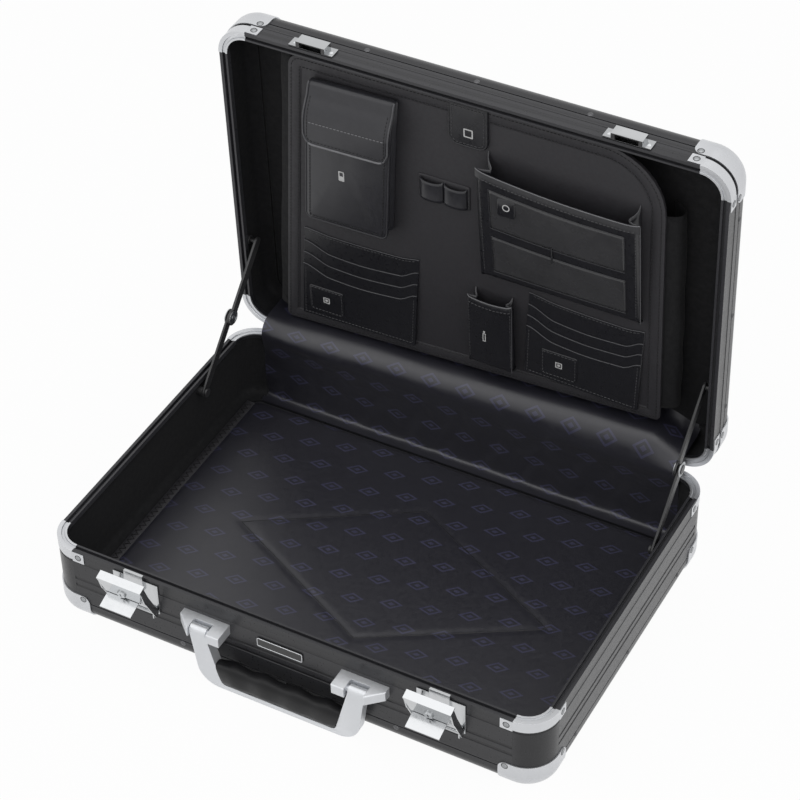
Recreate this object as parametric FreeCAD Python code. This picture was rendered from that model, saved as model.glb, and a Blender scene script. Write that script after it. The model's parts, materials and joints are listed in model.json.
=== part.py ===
import FreeCAD, Part
import math
import os

V = FreeCAD.Vector
os.makedirs("parts", exist_ok=True)

# All sizes in millimetres. The origin is the middle of the rest plane under the base,
# +X to the right along the front, the front at -Y, +Z up. The lid stands open at rest.

# Case
case_width = 460.0
case_depth = 320.0
base_height = 78.0
lid_height = 40.0
rim_gap = 0.4
lid_open_angle = 88.0
corner_radius = 27.0
edge_radius = 14.0
wall_thickness = 1.6
foot_height = 1.2
fit_gap = 0.05
seat_gap = 0.2
cut_overrun = 1.0

# Wall extrusion
seam_height = 19.6
seam_gap = 1.0
rim_width = 8.0
rim_depth = 5.0
rim_groove_start = 3.2
rim_groove_width = 3.0
rim_groove_depth = 3.0
band_height = 13.0
band_recess = 0.4
groove_drops = (29.5, 37.5)
groove_height = 3.5
groove_depth = 0.5

# Edge rail and outer panels
rail_leg_height = 7.0
rail_flange = 12.0
post_flange_gap = 1.0
panel_thickness = 2.0

# Ball corners, rim corners and their rivets
ball_top = 27.5
ball_reach = 22.0
ball_tab = 12.0
ball_tab_round = 7.0
cap_thickness = 1.4
cap_groove_depth = 0.9
bracket_thickness = 0.8
skirt_height = 10.0
rim_tab = 11.0
rim_tab_top = 1.2
rim_tab_height = 10.4
rivet_head_radius = 2.5
rivet_head_height = 0.9
rivet_shank_radius = 1.3
rail_rivet_height = 17.3
rail_rivet_pitch = 100.0

# Linings
liner_thickness = 2.0
cove_run = 6.1
cove_rise = 4.7
cove_height = 9.6
cove_foot = 8.0
pad_inset = 18.0
cloth_share = (0.3, 0.7)
pad_thickness = 3.7
pad_round = 1.4
quilt_corners = ((-137.0, -5.0), (0.0, 80.0), (156.0, 1.0), (17.0, -82.0))
quilt_width = 3.0
quilt_depth = 1.0

# Hinge along the rear wall
hinge_offset = 3.2
hinge_pin_radius = 1.5
knuckle_radius = 2.6
knuckle_count = 19
knuckle_gap = 0.3
leaf_thickness = 1.0
leaf_width = 16.0
leaf_end_gap = 6.0

# Folding stays
stay_foot_reach = 91.2
stay_foot_drop = 12.2
stay_head_reach = 90.0
stay_head_depth = 9.4
stay_width = 8.6
stay_thickness = 2.0
stay_wall_gap = 6.0
stay_plane_gap = 0.4
stay_pin_radius = 2.2
stay_boss_radius = 4.0
stay_disc_radius = 7.5
stay_head_thickness = 1.0
stay_pad_thickness = 3.0
stay_stop_gap = 0.3

# Latches
latch_handle_shift = 2.45
latch_plate_width = 43.0
latch_plate_bottom = 35.0
latch_plate_top = 3.0
latch_sheet = 1.0
latch_pivot_drop = 32.0
latch_pivot_out = 4.0
latch_pin_radius = 1.5
latch_ear_thickness = 1.2
latch_ear_height = 8.0
latch_pin_margin = 1.0
latch_arm_thickness = 1.2
latch_arm_gap = 0.5
latch_open_angle = 20.0
tongue_width = 18.0
tongue_thickness = 2.5
tongue_rise = 4.5
tongue_root = 9.0
hasp_width = 42.0
hasp_fold_width = 33.0
hasp_sheet = 1.2
hasp_lip_gap = 0.5
hasp_foot_out = 9.2
hasp_foot_drop = 3.6
hasp_top_out = 8.0
hasp_lip_in = 1.6
flap_axis_out = 7.4
flap_axis_drop = 7.0
flap_pin_radius = 1.2
flap_pin_margin = 0.5
flap_barrel_radius = 2.3
flap_width = 30.0
flap_length = 17.0
flap_sheet = 1.2
plug_radius = 4.0
plug_rise = 0.3
plug_length = 4.2
plug_flange = 1.0
plug_key_width = 1.0
plug_key_length = 5.0
plug_key_depth = 1.5

# Keepers on the lid
keeper_width = 41.0
keeper_length = 11.0
keeper_rim_gap = 0.6
keeper_sheet = 1.2
keeper_hood_width = 27.0
keeper_hood_height = 6.0
keeper_slot_width = 20.4
keeper_slot_height = 4.6
keeper_slot_depth = 7.5
keeper_slot_floor = 0.5
keeper_rivet_offset = 17.0

# Handle
handle_spacing = 146.8
bracket_width = 43.0
bracket_depth = 19.0
bracket_height = 10.0
bracket_top_drop = 16.0
bracket_slant = 13.0
bracket_outer_depth = 7.0
bracket_round = 1.2
handle_axis_out = 12.0
handle_pin_radius = 2.5
arm_width = 15.0
arm_side_gap = 0.4
arm_slot_clearance = 1.2
bow_thickness = 9.0
bow_floor_gap = 2.0
bow_taper = 8.0
bow_bar = 5.0
bow_corner = 20.0
bow_arm_foot = 20.0
grip_height = 21.0
grip_thickness = 15.0
grip_end_gap = 0.3
grip_bumps = 4
grip_bump_rise = 2.0
grip_round = 3.0

# Badge plate, left blank
badge_width = 43.0
badge_height = 10.0
badge_offset = -5.0
badge_top_drop = 16.5
badge_thickness = 1.2
badge_corner = 2.5

# Organiser in the lid. Depths are measured from the lid rim into the lid.
organiser_depth = 8.0
organiser_thickness = 3.0
organiser_left_top = 64.0
organiser_left_bottom = 43.0
organiser_right_top = 58.0
organiser_right_bottom = 54.0
organiser_top = 14.0
organiser_bottom_left = 14.0
organiser_bottom_right = 34.0
organiser_corner_left = 12.0
organiser_corner_right = 55.0
gusset_thickness = 1.5
cloth_wall = 1.8
phone_inset = 22.0
phone_top = 17.2
phone_width = 80.0
phone_lean = 9.0
phone_slope = 2.0
phone_card_gap = 24.0
phone_depth = 16.0
phone_flap_length = 56.0
phone_flap_gap = 0.4
phone_flap_thickness = 1.8
pen_phone_gap = 18.0
pen_top = 85.0
pen_loop_width = 22.0
pen_loop_depth = 12.0
pen_loop_length = 21.0
accessory_pen_gap = 13.8
accessory_inset = 18.0
accessory_top = 54.0
accessory_card_gap = 7.0
accessory_mouth = 18.0
accessory_base = 6.0
slim_card_gap = 57.0
slim_width = 41.0
slim_height = 74.0
slim_bottom = 6.0
slim_depth = 12.0
card_left_inset = 18.0
card_left_bottom = 12.0
card_left_width = 113.0
card_left_height = 98.0
card_left_lean = 6.0
card_left_slope = -3.0
card_right_inset = 19.0
card_right_bottom = 5.0
card_right_slim_gap = 9.0
card_right_height = 88.0
card_right_lean = 3.5
card_right_slope = 4.0
card_steps = (0.0, 0.17, 0.31, 0.45)
card_layer = 0.8
tab_width = 36.0
tab_length = 42.0
tab_top = 12.5
tab_round = 9.0
tab_thickness = 2.4

# Worked out from the sizes above
half_width = case_width / 2
half_depth = case_depth / 2
lid_rim_z = base_height + rim_gap
lid_top_z = lid_rim_z + lid_height
hinge_y = half_depth + hinge_offset
hinge_z = base_height + rim_gap / 2
edge_centre_z = foot_height + edge_radius
panel_bottom = foot_height + wall_thickness
panel_top = panel_bottom + panel_thickness
liner_outer = 2 * wall_thickness + seat_gap
liner_inner = liner_outer + liner_thickness
handle_centre = handle_spacing / 2
bracket_end = handle_centre + bracket_width / 2
tab_start = half_width - corner_radius - rim_tab
latch_centre = (bracket_end + tab_start) / 2 - latch_handle_shift

nodes = {}


def keep(name, *solids):
    nodes.setdefault(name, []).extend(solids)


# Drawing helpers

def face_of(place, start, *steps):
    """A flat face. Each step is a tuple: an end point, or a point on an arc and the arc's end."""
    edges = []
    here = start
    for step in list(steps) + [(start,)]:
        ends = [place(*here)] + [place(*point) for point in step]
        if len(step) == 2:
            edges.append(Part.Arc(*ends).toShape())
        elif (ends[1] - ends[0]).Length > 1e-6:
            edges.append(Part.makeLine(*ends))
        here = step[-1]
    return Part.Face(Part.Wire(edges))


def corner_point(centre_a, centre_b, radius, angle):
    turn = math.radians(angle)
    return (centre_a + radius * math.cos(turn), centre_b + radius * math.sin(turn))


def lines(*points):
    return [(point,) for point in points]


def prism(points, low, high):
    """A solid with an outline in XY between two heights."""
    face = face_of(lambda x, y: V(x, y, low), points[0], *lines(*points[1:]))
    return face.extrude(V(0, 0, high - low))


def box(x0, x1, y0, y1, z0, z1):
    return Part.makeBox(x1 - x0, y1 - y0, z1 - z0, V(x0, y0, z0))


def rounded_slab(half_x, half_y, radius, low, high):
    """A rectangle about the Z axis with round corners, between two heights."""
    slab = box(-half_x, half_x, -half_y, half_y, low, high)
    upright = [e for e in slab.Edges if abs(e.tangentAt(e.FirstParameter).z) > 0.9]
    return slab.makeFillet(radius, upright)


def rod_x(x0, x1, y, z, radius):
    return Part.makeCylinder(radius, x1 - x0, V(x0, y, z), V(1, 0, 0))


def turned(shape, centre, axis, angle):
    moved = shape.copy()
    moved.rotate(centre, axis, angle)
    return moved


def shifted(shape, x, y, z):
    moved = shape.copy()
    moved.translate(V(x, y, z))
    return moved


def cut_all(shape, tools):
    return shape.cut(Part.makeCompound(tools)) if tools else shape


# Places of the walls and corners of one shell

def on_side(shape, side):
    """Moves a piece drawn with its inward direction along +Y, at y = 0, to a side of the case."""
    angle = {"front": 0, "right": 90, "rear": 180, "left": -90}[side]
    place = {
        "front": (0, -half_depth),
        "right": (half_width, 0),
        "rear": (0, half_depth),
        "left": (-half_width, 0),
    }[side]
    return shifted(turned(shape, V(0, 0, 0), V(0, 0, 1), angle), place[0], place[1], 0)


def on_corner(shape, corner):
    """Moves a piece drawn about the front left corner's upright axis to one of the corners."""
    angle = {"front_left": 0, "front_right": 90, "rear_right": 180, "rear_left": 270}[corner]
    x = half_width - corner_radius
    y = half_depth - corner_radius
    place = {
        "front_left": (-x, -y),
        "front_right": (x, -y),
        "rear_right": (x, y),
        "rear_left": (-x, y),
    }[corner]
    return shifted(turned(shape, V(0, 0, 0), V(0, 0, 1), angle), place[0], place[1], 0)


corners = ("front_left", "front_right", "rear_right", "rear_left")
sides = ("front", "right", "rear", "left")


def side_length(side):
    whole = case_width if side in ("front", "rear") else case_depth
    return whole - 2 * corner_radius


def along_side(start, steps, length):
    """A run of one section, inward distance and height, along a straight side."""
    face = face_of(lambda d, z: V(-length / 2, d, z), start, *steps)
    return face.extrude(V(length, 0, 0))


def round_corner(start, steps):
    """The same section swept round the front left corner."""
    face = face_of(lambda d, z: V(d - corner_radius, 0, z), start, *steps)
    return face.revolve(V(0, 0, 0), V(0, 0, 1), 90)


def corner_with_tabs(start, steps, length):
    """The section round the front left corner and on along both sides."""
    face = face_of(lambda d, z: V(d - corner_radius, 0, z), start, *steps)
    bend = face.revolve(V(0, 0, 0), V(0, 0, 1), 90)
    left = face.extrude(V(0, length, 0))
    front = turned(face, V(0, 0, 0), V(0, 0, 1), 90).extrude(V(length, 0, 0))
    return bend.fuse([left, front]).removeSplitter()


# Sections: inward distance from the wall's face, and height above the shell's own rest plane

def wall_section(rim, grooves):
    points = []
    for drop in sorted(grooves, reverse=True):
        top = rim - drop
        low = top - groove_height
        points += [(0, low), (groove_depth, low + groove_depth)]
        points += [(groove_depth, top - groove_depth), (0, top)]
    band = rim - band_height
    groove_end = rim_groove_start + rim_groove_width
    points += [(0, band), (band_recess, band + band_recess), (band_recess, rim)]
    points += [(rim_groove_start, rim), (rim_groove_start, rim - rim_groove_depth)]
    points += [(groove_end, rim - rim_groove_depth), (groove_end, rim)]
    points += [(rim_width, rim), (rim_width, rim - rim_depth)]
    points += [(wall_thickness, rim - rim_depth), (wall_thickness, seam_height + seam_gap)]
    return (0, seam_height + seam_gap), lines(*points)


def edge_arc(radius, end):
    """The rounded edge, from the wall down to the panel."""
    return (corner_point(edge_radius, edge_centre_z, radius, 225), end)


def rail_section():
    inner = edge_radius - wall_thickness
    leg = 2 * wall_thickness
    leg_foot = edge_centre_z - math.sqrt(inner ** 2 - (edge_radius - leg) ** 2)
    angle = math.degrees(math.atan2(leg_foot - edge_centre_z, leg - edge_radius)) % 360
    middle = corner_point(edge_radius, edge_centre_z, inner, (angle + 270) / 2)
    flange_end = edge_radius + rail_flange
    steps = [((0, edge_centre_z),), edge_arc(edge_radius, (edge_radius, foot_height))]
    steps += lines((flange_end, foot_height), (flange_end, panel_bottom), (edge_radius, panel_bottom))
    steps += [(middle, (leg, leg_foot))]
    steps += lines((leg, seam_height + rail_leg_height), (wall_thickness, seam_height + rail_leg_height))
    steps += lines((wall_thickness, seam_height))
    return (0, seam_height), steps


def post_section(rim):
    band = rim - band_height
    top = rim - cap_thickness
    reach = corner_radius - post_flange_gap
    steps = lines((band_recess, band + band_recess), (0, band), (0, edge_centre_z))
    steps += [edge_arc(edge_radius, (edge_radius, foot_height))]
    steps += lines((reach, foot_height), (reach, panel_bottom), (edge_radius, panel_bottom))
    steps += [edge_arc(edge_radius - wall_thickness, (wall_thickness, edge_centre_z))]
    steps += lines((wall_thickness, rim - rim_depth), (rim_width, rim - rim_depth), (rim_width, top))
    return (band_recess, top), steps


def ball_section():
    outer = edge_radius + foot_height
    inner = edge_radius + fit_gap
    under = foot_height - fit_gap
    steps = [((-foot_height, edge_centre_z),), edge_arc(outer, (edge_radius, 0))]
    steps += lines((ball_reach, 0), (ball_reach, under), (edge_radius, under))
    steps += [edge_arc(inner, (-fit_gap, edge_centre_z))]
    steps += lines((-fit_gap, ball_top))
    return (-foot_height, ball_top), steps


def cap_section(rim):
    outer = band_recess - bracket_thickness
    inner = band_recess - fit_gap
    under = rim - cap_thickness + fit_gap
    valley = rim - cap_groove_depth
    groove_end = rim_groove_start + rim_groove_width
    points = [(outer, rim), (rim_groove_start, rim), (rim_groove_start + band_recess, valley)]
    points += [(groove_end - band_recess, valley), (groove_end, rim), (rim_width, rim)]
    points += [(rim_width, under), (inner, under), (inner, rim - skirt_height)]
    return (outer, rim - skirt_height), lines(*points)


def liner_web_section(rim):
    low = cove_height + cove_rise
    points = [(liner_inner, low), (liner_inner, rim - rim_depth - seat_gap)]
    points += [(liner_outer, rim - rim_depth - seat_gap)]
    return (liner_outer, low), lines(*points)


def liner_cove_section():
    foot = liner_outer + cove_run
    floor = panel_top + seat_gap
    end = foot + cove_foot
    points = [(foot, floor), (end, floor), (end, floor + liner_thickness)]
    points += [(foot + liner_thickness / 2, floor + liner_thickness)]
    points += [(liner_inner, cove_height + liner_thickness)]
    points += [(liner_inner, cove_height + cove_rise - seat_gap)]
    points += [(liner_outer, cove_height + cove_rise - seat_gap)]
    return (liner_outer, cove_height), lines(*points)


# Rivets: a domed head on the outer face and a shank through the wall

def rivet(depth):
    """A rivet on a face at y = 0 whose inside is at +Y."""
    sphere_radius = (rivet_head_radius ** 2 + rivet_head_height ** 2) / (2 * rivet_head_height)
    ball = Part.makeSphere(sphere_radius, V(0, sphere_radius - rivet_head_height, 0))
    reach = rivet_head_radius
    slab = box(-reach, reach, -rivet_head_height, 0, -reach, reach)
    shank = Part.makeCylinder(rivet_shank_radius, depth, V(0, 0, 0), V(0, 1, 0))
    return ball.common(slab).fuse(shank)


def rivet_hole(depth):
    start = V(0, -rivet_head_height, 0)
    return Part.makeCylinder(rivet_shank_radius + fit_gap, depth + rivet_head_height, start, V(0, 1, 0))


def rivet_places(rim, side):
    """Offsets along a side, height, how far the face stands out, and the shank's length."""
    seam = side_length(side) / 2
    places = []
    for sign in (-1, 1):
        tab_middle = rim - rim_tab_top - rim_tab_height / 2
        out = bracket_thickness - band_recess
        places.append((sign * (seam - rim_tab / 2), tab_middle, out, out + wall_thickness))
        height = (seam_height + seam_gap + ball_top) / 2
        places.append((sign * (seam - ball_tab / 2), height, foot_height, foot_height + wall_thickness))
    steps = int((side_length(side) / 2 - ball_tab - rivet_head_radius) // rail_rivet_pitch)
    for step in range(-steps, steps + 1):
        places.append((step * rail_rivet_pitch, rail_rivet_height, 0.0, wall_thickness))
    return places


def rivets_on(rim, side, make):
    made = []
    for along, height, out, depth in rivet_places(rim, side):
        made.append(on_side(shifted(make(depth), along, -out, height), side))
    return made


# One shell: base or lid, standing on its outer panel

def ball_corner():
    start, steps = ball_section()
    body = corner_with_tabs(start, steps, ball_tab)
    tools = []
    for angle in (0, 90):
        end = ball_tab
        low = ball_top - ball_tab_round
        block = box(-corner_radius - 3 * foot_height, -corner_radius + foot_height,
                    end - ball_tab_round, end + cut_overrun, low, ball_top + cut_overrun)
        centre = V(-corner_radius - 3 * foot_height, end - ball_tab_round, low)
        keep_round = Part.makeCylinder(ball_tab_round, 4 * foot_height, centre, V(1, 0, 0))
        tool = block.cut(keep_round)
        if angle:
            mirror = tool.mirror(V(0, 0, 0), V(1, -1, 0))
            tools.append(mirror)
        else:
            tools.append(tool)
    return cut_all(body, tools)


def rim_corner(rim):
    start, steps = cap_section(rim)
    bend = round_corner(start, steps)
    outer = corner_radius - band_recess + bracket_thickness
    inner = corner_radius - band_recess + fit_gap
    top = rim - rim_tab_top
    low = top - rim_tab_height
    left = box(-outer, -inner, 0, rim_tab, low, top)
    front = box(0, rim_tab, -outer, -inner, low, top)
    return bend.fuse([left, front]).removeSplitter()


def shell(rim, grooves):
    """Every piece of one shell by name, each a list of solids by side or corner."""
    made = {}
    holes = {side: rivets_on(rim, side, rivet_hole) for side in sides}
    all_holes = [hole for side in sides for hole in holes[side]]
    for side in sides:
        length = side_length(side)
        wall = on_side(along_side(*wall_section(rim, grooves), length), side)
        made["wall_" + side] = cut_all(wall, holes[side])
        rail = on_side(along_side(*rail_section(), length), side)
        made["rail_" + side] = cut_all(rail, holes[side])
        made["rivets_" + side] = rivets_on(rim, side, rivet)
        made["web_" + side] = on_side(along_side(*liner_web_section(rim), length), side)
        made["cove_" + side] = on_side(along_side(*liner_cove_section(), length), side)
    for corner in corners:
        made["post_" + corner] = on_corner(round_corner(*post_section(rim)), corner)
        made["ball_" + corner] = cut_all(on_corner(ball_corner(), corner), all_holes)
        made["cap_" + corner] = cut_all(on_corner(rim_corner(rim), corner), all_holes)
        made["web_" + corner] = on_corner(round_corner(*liner_web_section(rim)), corner)
        made["cove_" + corner] = on_corner(round_corner(*liner_cove_section()), corner)
    inset = edge_radius + seat_gap
    made["panel"] = rounded_slab(half_width - inset, half_depth - inset, corner_radius - inset,
                                 panel_bottom, panel_top)
    return made


def pieces(made, prefix, names):
    return [made[prefix + name] for name in names]


# Base

base = shell(base_height, groove_drops)
keep("base_rear_wall", base["wall_rear"])
keep("base_side_walls", base["wall_left"], base["wall_right"])
keep("base_corner_posts", *pieces(base, "post_", corners))
keep("base_edge_rails", *pieces(base, "rail_", sides))
keep("base_floor_panel", base["panel"])
keep("base_ball_corners", *pieces(base, "ball_", corners))
keep("base_rim_corners", *pieces(base, "cap_", corners))
for side in sides:
    keep("base_rivets", *base["rivets_" + side])
keep("base_front_wall", base["wall_front"])
keep("base_wall_liner", *pieces(base, "web_", ("front", "left", "right") + corners))
keep("base_wall_liner", *pieces(base, "cove_", ("front", "left", "right") + corners))
keep("base_rear_liner", base["web_rear"], base["cove_rear"])

pad_low = panel_top
pad_high = panel_top + pad_thickness
pad = rounded_slab(half_width - pad_inset, half_depth - pad_inset, corner_radius - pad_inset,
                   pad_low, pad_high)
pad = pad.makeFillet(pad_round, [e for e in pad.Edges if e.BoundBox.ZMin > pad_high - fit_gap])
channels = []
for first, second in zip(quilt_corners, quilt_corners[1:] + quilt_corners[:1]):
    run = V(second[0] - first[0], second[1] - first[1], 0)
    channel = box(-quilt_width / 2, run.Length + quilt_width / 2, -quilt_width / 2, quilt_width / 2,
                  pad_high - quilt_depth, pad_high + quilt_depth)
    angle = math.degrees(math.atan2(run.y, run.x))
    channels.append(shifted(turned(channel, V(0, 0, 0), V(0, 0, 1), angle), first[0], first[1], 0))
keep("base_floor_pad", cut_all(pad, [channels[0].fuse(channels[1:])]))


# Lid, drawn closed and then swung open about the hinge

def closed_lid(shape):
    """A shell piece turned over on to the base."""
    return shifted(turned(shape, V(0, 0, 0), V(1, 0, 0), 180), 0, 0, lid_top_z)


def opened(shape):
    return turned(shape, V(0, hinge_y, hinge_z), V(1, 0, 0), -lid_open_angle)


def keep_lid(name, *solids):
    keep(name, *[opened(solid) for solid in solids])


lid = shell(lid_height, ())
facing = {"front": "rear", "rear": "front", "left": "left", "right": "right"}
lid_pieces = {
    "lid_front_wall": [lid["wall_" + facing["front"]]],
    "lid_rear_wall": [lid["wall_" + facing["rear"]]],
    "lid_side_walls": [lid["wall_left"], lid["wall_right"]],
    "lid_corner_posts": pieces(lid, "post_", corners),
    "lid_edge_rails": pieces(lid, "rail_", sides),
    "lid_top_panel": [lid["panel"]],
    "lid_ball_corners": pieces(lid, "ball_", corners),
    "lid_rim_corners": pieces(lid, "cap_", corners),
    "lid_rivets": [solid for side in sides for solid in lid["rivets_" + side]],
    "lid_wall_liner": pieces(lid, "web_", ("rear", "left", "right") + corners)
    + pieces(lid, "cove_", ("rear", "left", "right") + corners),
    "lid_rear_liner": [lid["web_front"], lid["cove_front"]],
}
for name, solids in lid_pieces.items():
    keep_lid(name, *[closed_lid(solid) for solid in solids])
back_low = panel_top
back = rounded_slab(half_width - pad_inset, half_depth - pad_inset, corner_radius - pad_inset,
                    back_low, back_low + liner_thickness)
keep_lid("lid_back_liner", closed_lid(back))


# Hinge: two leaves on the rear walls and one pin

hinge_half = side_length("rear") / 2 - max(rim_tab, ball_tab) - leaf_end_gap
knuckle_length = 2 * hinge_half / knuckle_count
bore_radius = hinge_pin_radius + fit_gap


def leaf(own, outward):
    """One leaf with its knuckles; own is 0 or 1, outward is -1 below the axis and 1 above."""
    far = hinge_z + outward * leaf_width
    near = hinge_z + outward * (knuckle_radius + knuckle_gap)
    low, high = sorted((far, near))
    plate = box(-hinge_half, hinge_half, half_depth, half_depth + leaf_thickness, low, high)
    parts = []
    for index in range(own, knuckle_count, 2):
        x0 = -hinge_half + index * knuckle_length + knuckle_gap / 2
        x1 = x0 + knuckle_length - knuckle_gap
        parts.append(rod_x(x0, x1, hinge_y, hinge_z, knuckle_radius))
        low, high = sorted((near, hinge_z))
        parts.append(box(x0, x1, half_depth, half_depth + leaf_thickness, low, high))
    bore = rod_x(-hinge_half, hinge_half, hinge_y, hinge_z, bore_radius)
    return plate.fuse(parts).removeSplitter().cut(bore)


keep("hinge_base_leaf", leaf(0, -1))
keep_lid("hinge_lid_leaf", leaf(1, 1))
keep("hinge_pin", rod_x(-hinge_half, hinge_half, hinge_y, hinge_z, hinge_pin_radius))


# Cloth over the hinge, from the base's rear lining into the lid

def lid_point(y, z):
    """A point of the closed lid's section where it stands with the lid open."""
    point = V(0, y - hinge_y, z - hinge_z)
    turn = FreeCAD.Rotation(V(1, 0, 0), -lid_open_angle)
    moved = turn.multVec(point)
    return (moved.y + hinge_y, moved.z + hinge_z)


cloth_half = side_length("rear") / 2
cloth_drop = 2 * rim_depth
cloth_y = half_depth - rim_width - seat_gap
cloth_start = (cloth_y, base_height - cloth_drop)
cloth_rim = (cloth_y, base_height)
cloth_lid_rim = lid_point(cloth_y, lid_rim_z)
cloth_end = lid_point(cloth_y, lid_rim_z + cloth_drop)
cloth_rise = (cloth_lid_rim[0] - cloth_y, cloth_lid_rim[1] - base_height)
cloth_middle = (cloth_y + cloth_rise[0] * cloth_share[0], base_height + cloth_rise[1] * cloth_share[1])
cloth_face = face_of(
    lambda y, z: V(-cloth_half, y, z),
    cloth_start,
    (cloth_rim,),
    (cloth_middle, cloth_lid_rim),
    (cloth_end,),
    ((cloth_end[0], cloth_end[1] + gusset_thickness),),
    ((cloth_lid_rim[0] - gusset_thickness, cloth_lid_rim[1] + gusset_thickness),),
    ((cloth_middle[0] - gusset_thickness, cloth_middle[1] + gusset_thickness),
     (cloth_y - gusset_thickness, base_height)),
    ((cloth_y - gusset_thickness, base_height - cloth_drop),),
)
keep("hinge_cloth", cloth_face.extrude(V(2 * cloth_half, 0, 0)))


# Folding stays: two links on each side, straight with the lid open

stay_foot = (hinge_y - stay_foot_reach, hinge_z - stay_foot_drop)
stay_head_closed = (hinge_y - stay_head_reach, hinge_z + stay_head_depth)
stay_head = lid_point(*stay_head_closed)
stay_knee = ((stay_foot[0] + stay_head[0]) / 2, (stay_foot[1] + stay_head[1]) / 2)
stay_wall = half_width - liner_inner
lower_out = stay_wall - stay_wall_gap
lower_in = lower_out - stay_thickness
upper_out = lower_in - stay_plane_gap
upper_in = upper_out - stay_thickness


def link(first, second, x0, x1):
    """A flat bar with round ends between two pivots given as (y, z)."""
    run = V(0, second[0] - first[0], second[1] - first[1])
    bar = box(x0, x1, 0, run.Length, -stay_width / 2, stay_width / 2)
    ends = [rod_x(x0, x1, y, 0, stay_width / 2) for y in (0, run.Length)]
    flat = bar.fuse(ends).removeSplitter()
    angle = math.degrees(math.atan2(run.z, run.y))
    return shifted(turned(flat, V(0, 0, 0), V(1, 0, 0), angle), 0, first[0], first[1])


def stay_pieces():
    """Lower link, upper link, base pivot and lid pad of the right stay."""
    hole = stay_pin_radius + fit_gap
    lower = link(stay_foot, stay_knee, lower_in, lower_out)
    for pivot in (stay_foot, stay_knee):
        lower = lower.cut(rod_x(lower_in, lower_out, pivot[0], pivot[1], hole))
    upper = link(stay_knee, stay_head, upper_in, upper_out)
    disc = rod_x(upper_in, upper_out, stay_knee[0], stay_knee[1], stay_disc_radius)
    knee_pin = rod_x(upper_in, lower_out + stay_plane_gap, stay_knee[0], stay_knee[1], stay_pin_radius)
    head_start = lower_out + stay_plane_gap
    knee_head = rod_x(head_start, head_start + stay_head_thickness, stay_knee[0], stay_knee[1],
                      stay_boss_radius)
    head_end = stay_wall - stay_pad_thickness - stay_stop_gap
    head_pin = rod_x(upper_in, head_end, stay_head[0], stay_head[1], stay_pin_radius)
    upper = upper.fuse([disc, knee_pin, knee_head, head_pin]).removeSplitter()
    foot_pin = rod_x(upper_in, stay_wall, stay_foot[0], stay_foot[1], stay_pin_radius)
    foot_boss = rod_x(lower_out + stay_plane_gap, stay_wall, stay_foot[0], stay_foot[1], stay_boss_radius)
    foot_head = rod_x(upper_in, upper_out, stay_foot[0], stay_foot[1], stay_boss_radius)
    foot = foot_pin.fuse([foot_boss, foot_head]).removeSplitter()
    pad = rod_x(stay_wall - stay_pad_thickness, stay_wall, stay_head[0], stay_head[1], stay_boss_radius)
    return lower, upper, foot, pad


for side_name, mirrored in (("right", False), ("left", True)):
    made = stay_pieces()
    if mirrored:
        made = [solid.mirror(V(0, 0, 0), V(1, 0, 0)) for solid in made]
    keep("stay_lower_" + side_name, made[0])
    keep("stay_upper_" + side_name, made[1])
    keep("stay_base_pivots", made[2])
    keep("stay_lid_pivots", made[3])


# Latches, drawn closed about x = 0 with y = -half_depth - out

def out_face(points):
    """An outline of (out, z) points in the plane x = 0."""
    return face_of(lambda out, z: V(0, -half_depth - out, z), points[0], *lines(*points[1:]))


def across(points, x0, x1):
    return shifted(out_face(points).extrude(V(x1 - x0, 0, 0)), x0, 0, 0)


def out_box(x0, x1, out0, out1, z0, z1):
    return box(x0, x1, -half_depth - out1, -half_depth - out0, z0, z1)


latch_pivot = (latch_pivot_out, base_height - latch_pivot_drop)
flap_axis = (flap_axis_out, base_height - flap_axis_drop)
keeper_low = lid_rim_z + keeper_rim_gap
keeper_high = keeper_low + keeper_length
lip_low = keeper_high + hasp_lip_gap
hasp_foot_z = base_height - hasp_foot_drop
arm_out_x = hasp_width / 2
arm_in_x = arm_out_x - latch_arm_thickness


def latch_plate():
    low = base_height - latch_plate_bottom
    high = base_height - latch_plate_top
    half = latch_plate_width / 2
    plate = out_box(-half, half, 0, latch_sheet, low, high)
    parts = []
    ear_out = arm_in_x - latch_arm_gap
    ear_in = ear_out - latch_ear_thickness
    ear_low = latch_pivot[1] - latch_ear_height / 2
    ear_high = latch_pivot[1] + latch_ear_height / 2
    for sign in (-1, 1):
        x0, x1 = sorted((sign * ear_in, sign * ear_out))
        ear_end = latch_pivot[0] + latch_pin_radius + latch_pin_margin
        parts.append(out_box(x0, x1, latch_sheet, ear_end, ear_low, ear_high))
    pin_y = -half_depth - latch_pivot[0]
    parts.append(rod_x(-arm_out_x, arm_out_x, pin_y, latch_pivot[1], latch_pin_radius))
    half_tongue = tongue_width / 2
    parts.append(out_box(-half_tongue, half_tongue, latch_sheet, latch_sheet + tongue_thickness,
                         high - tongue_root, base_height + tongue_rise))
    return plate.fuse(parts).removeSplitter()


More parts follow.
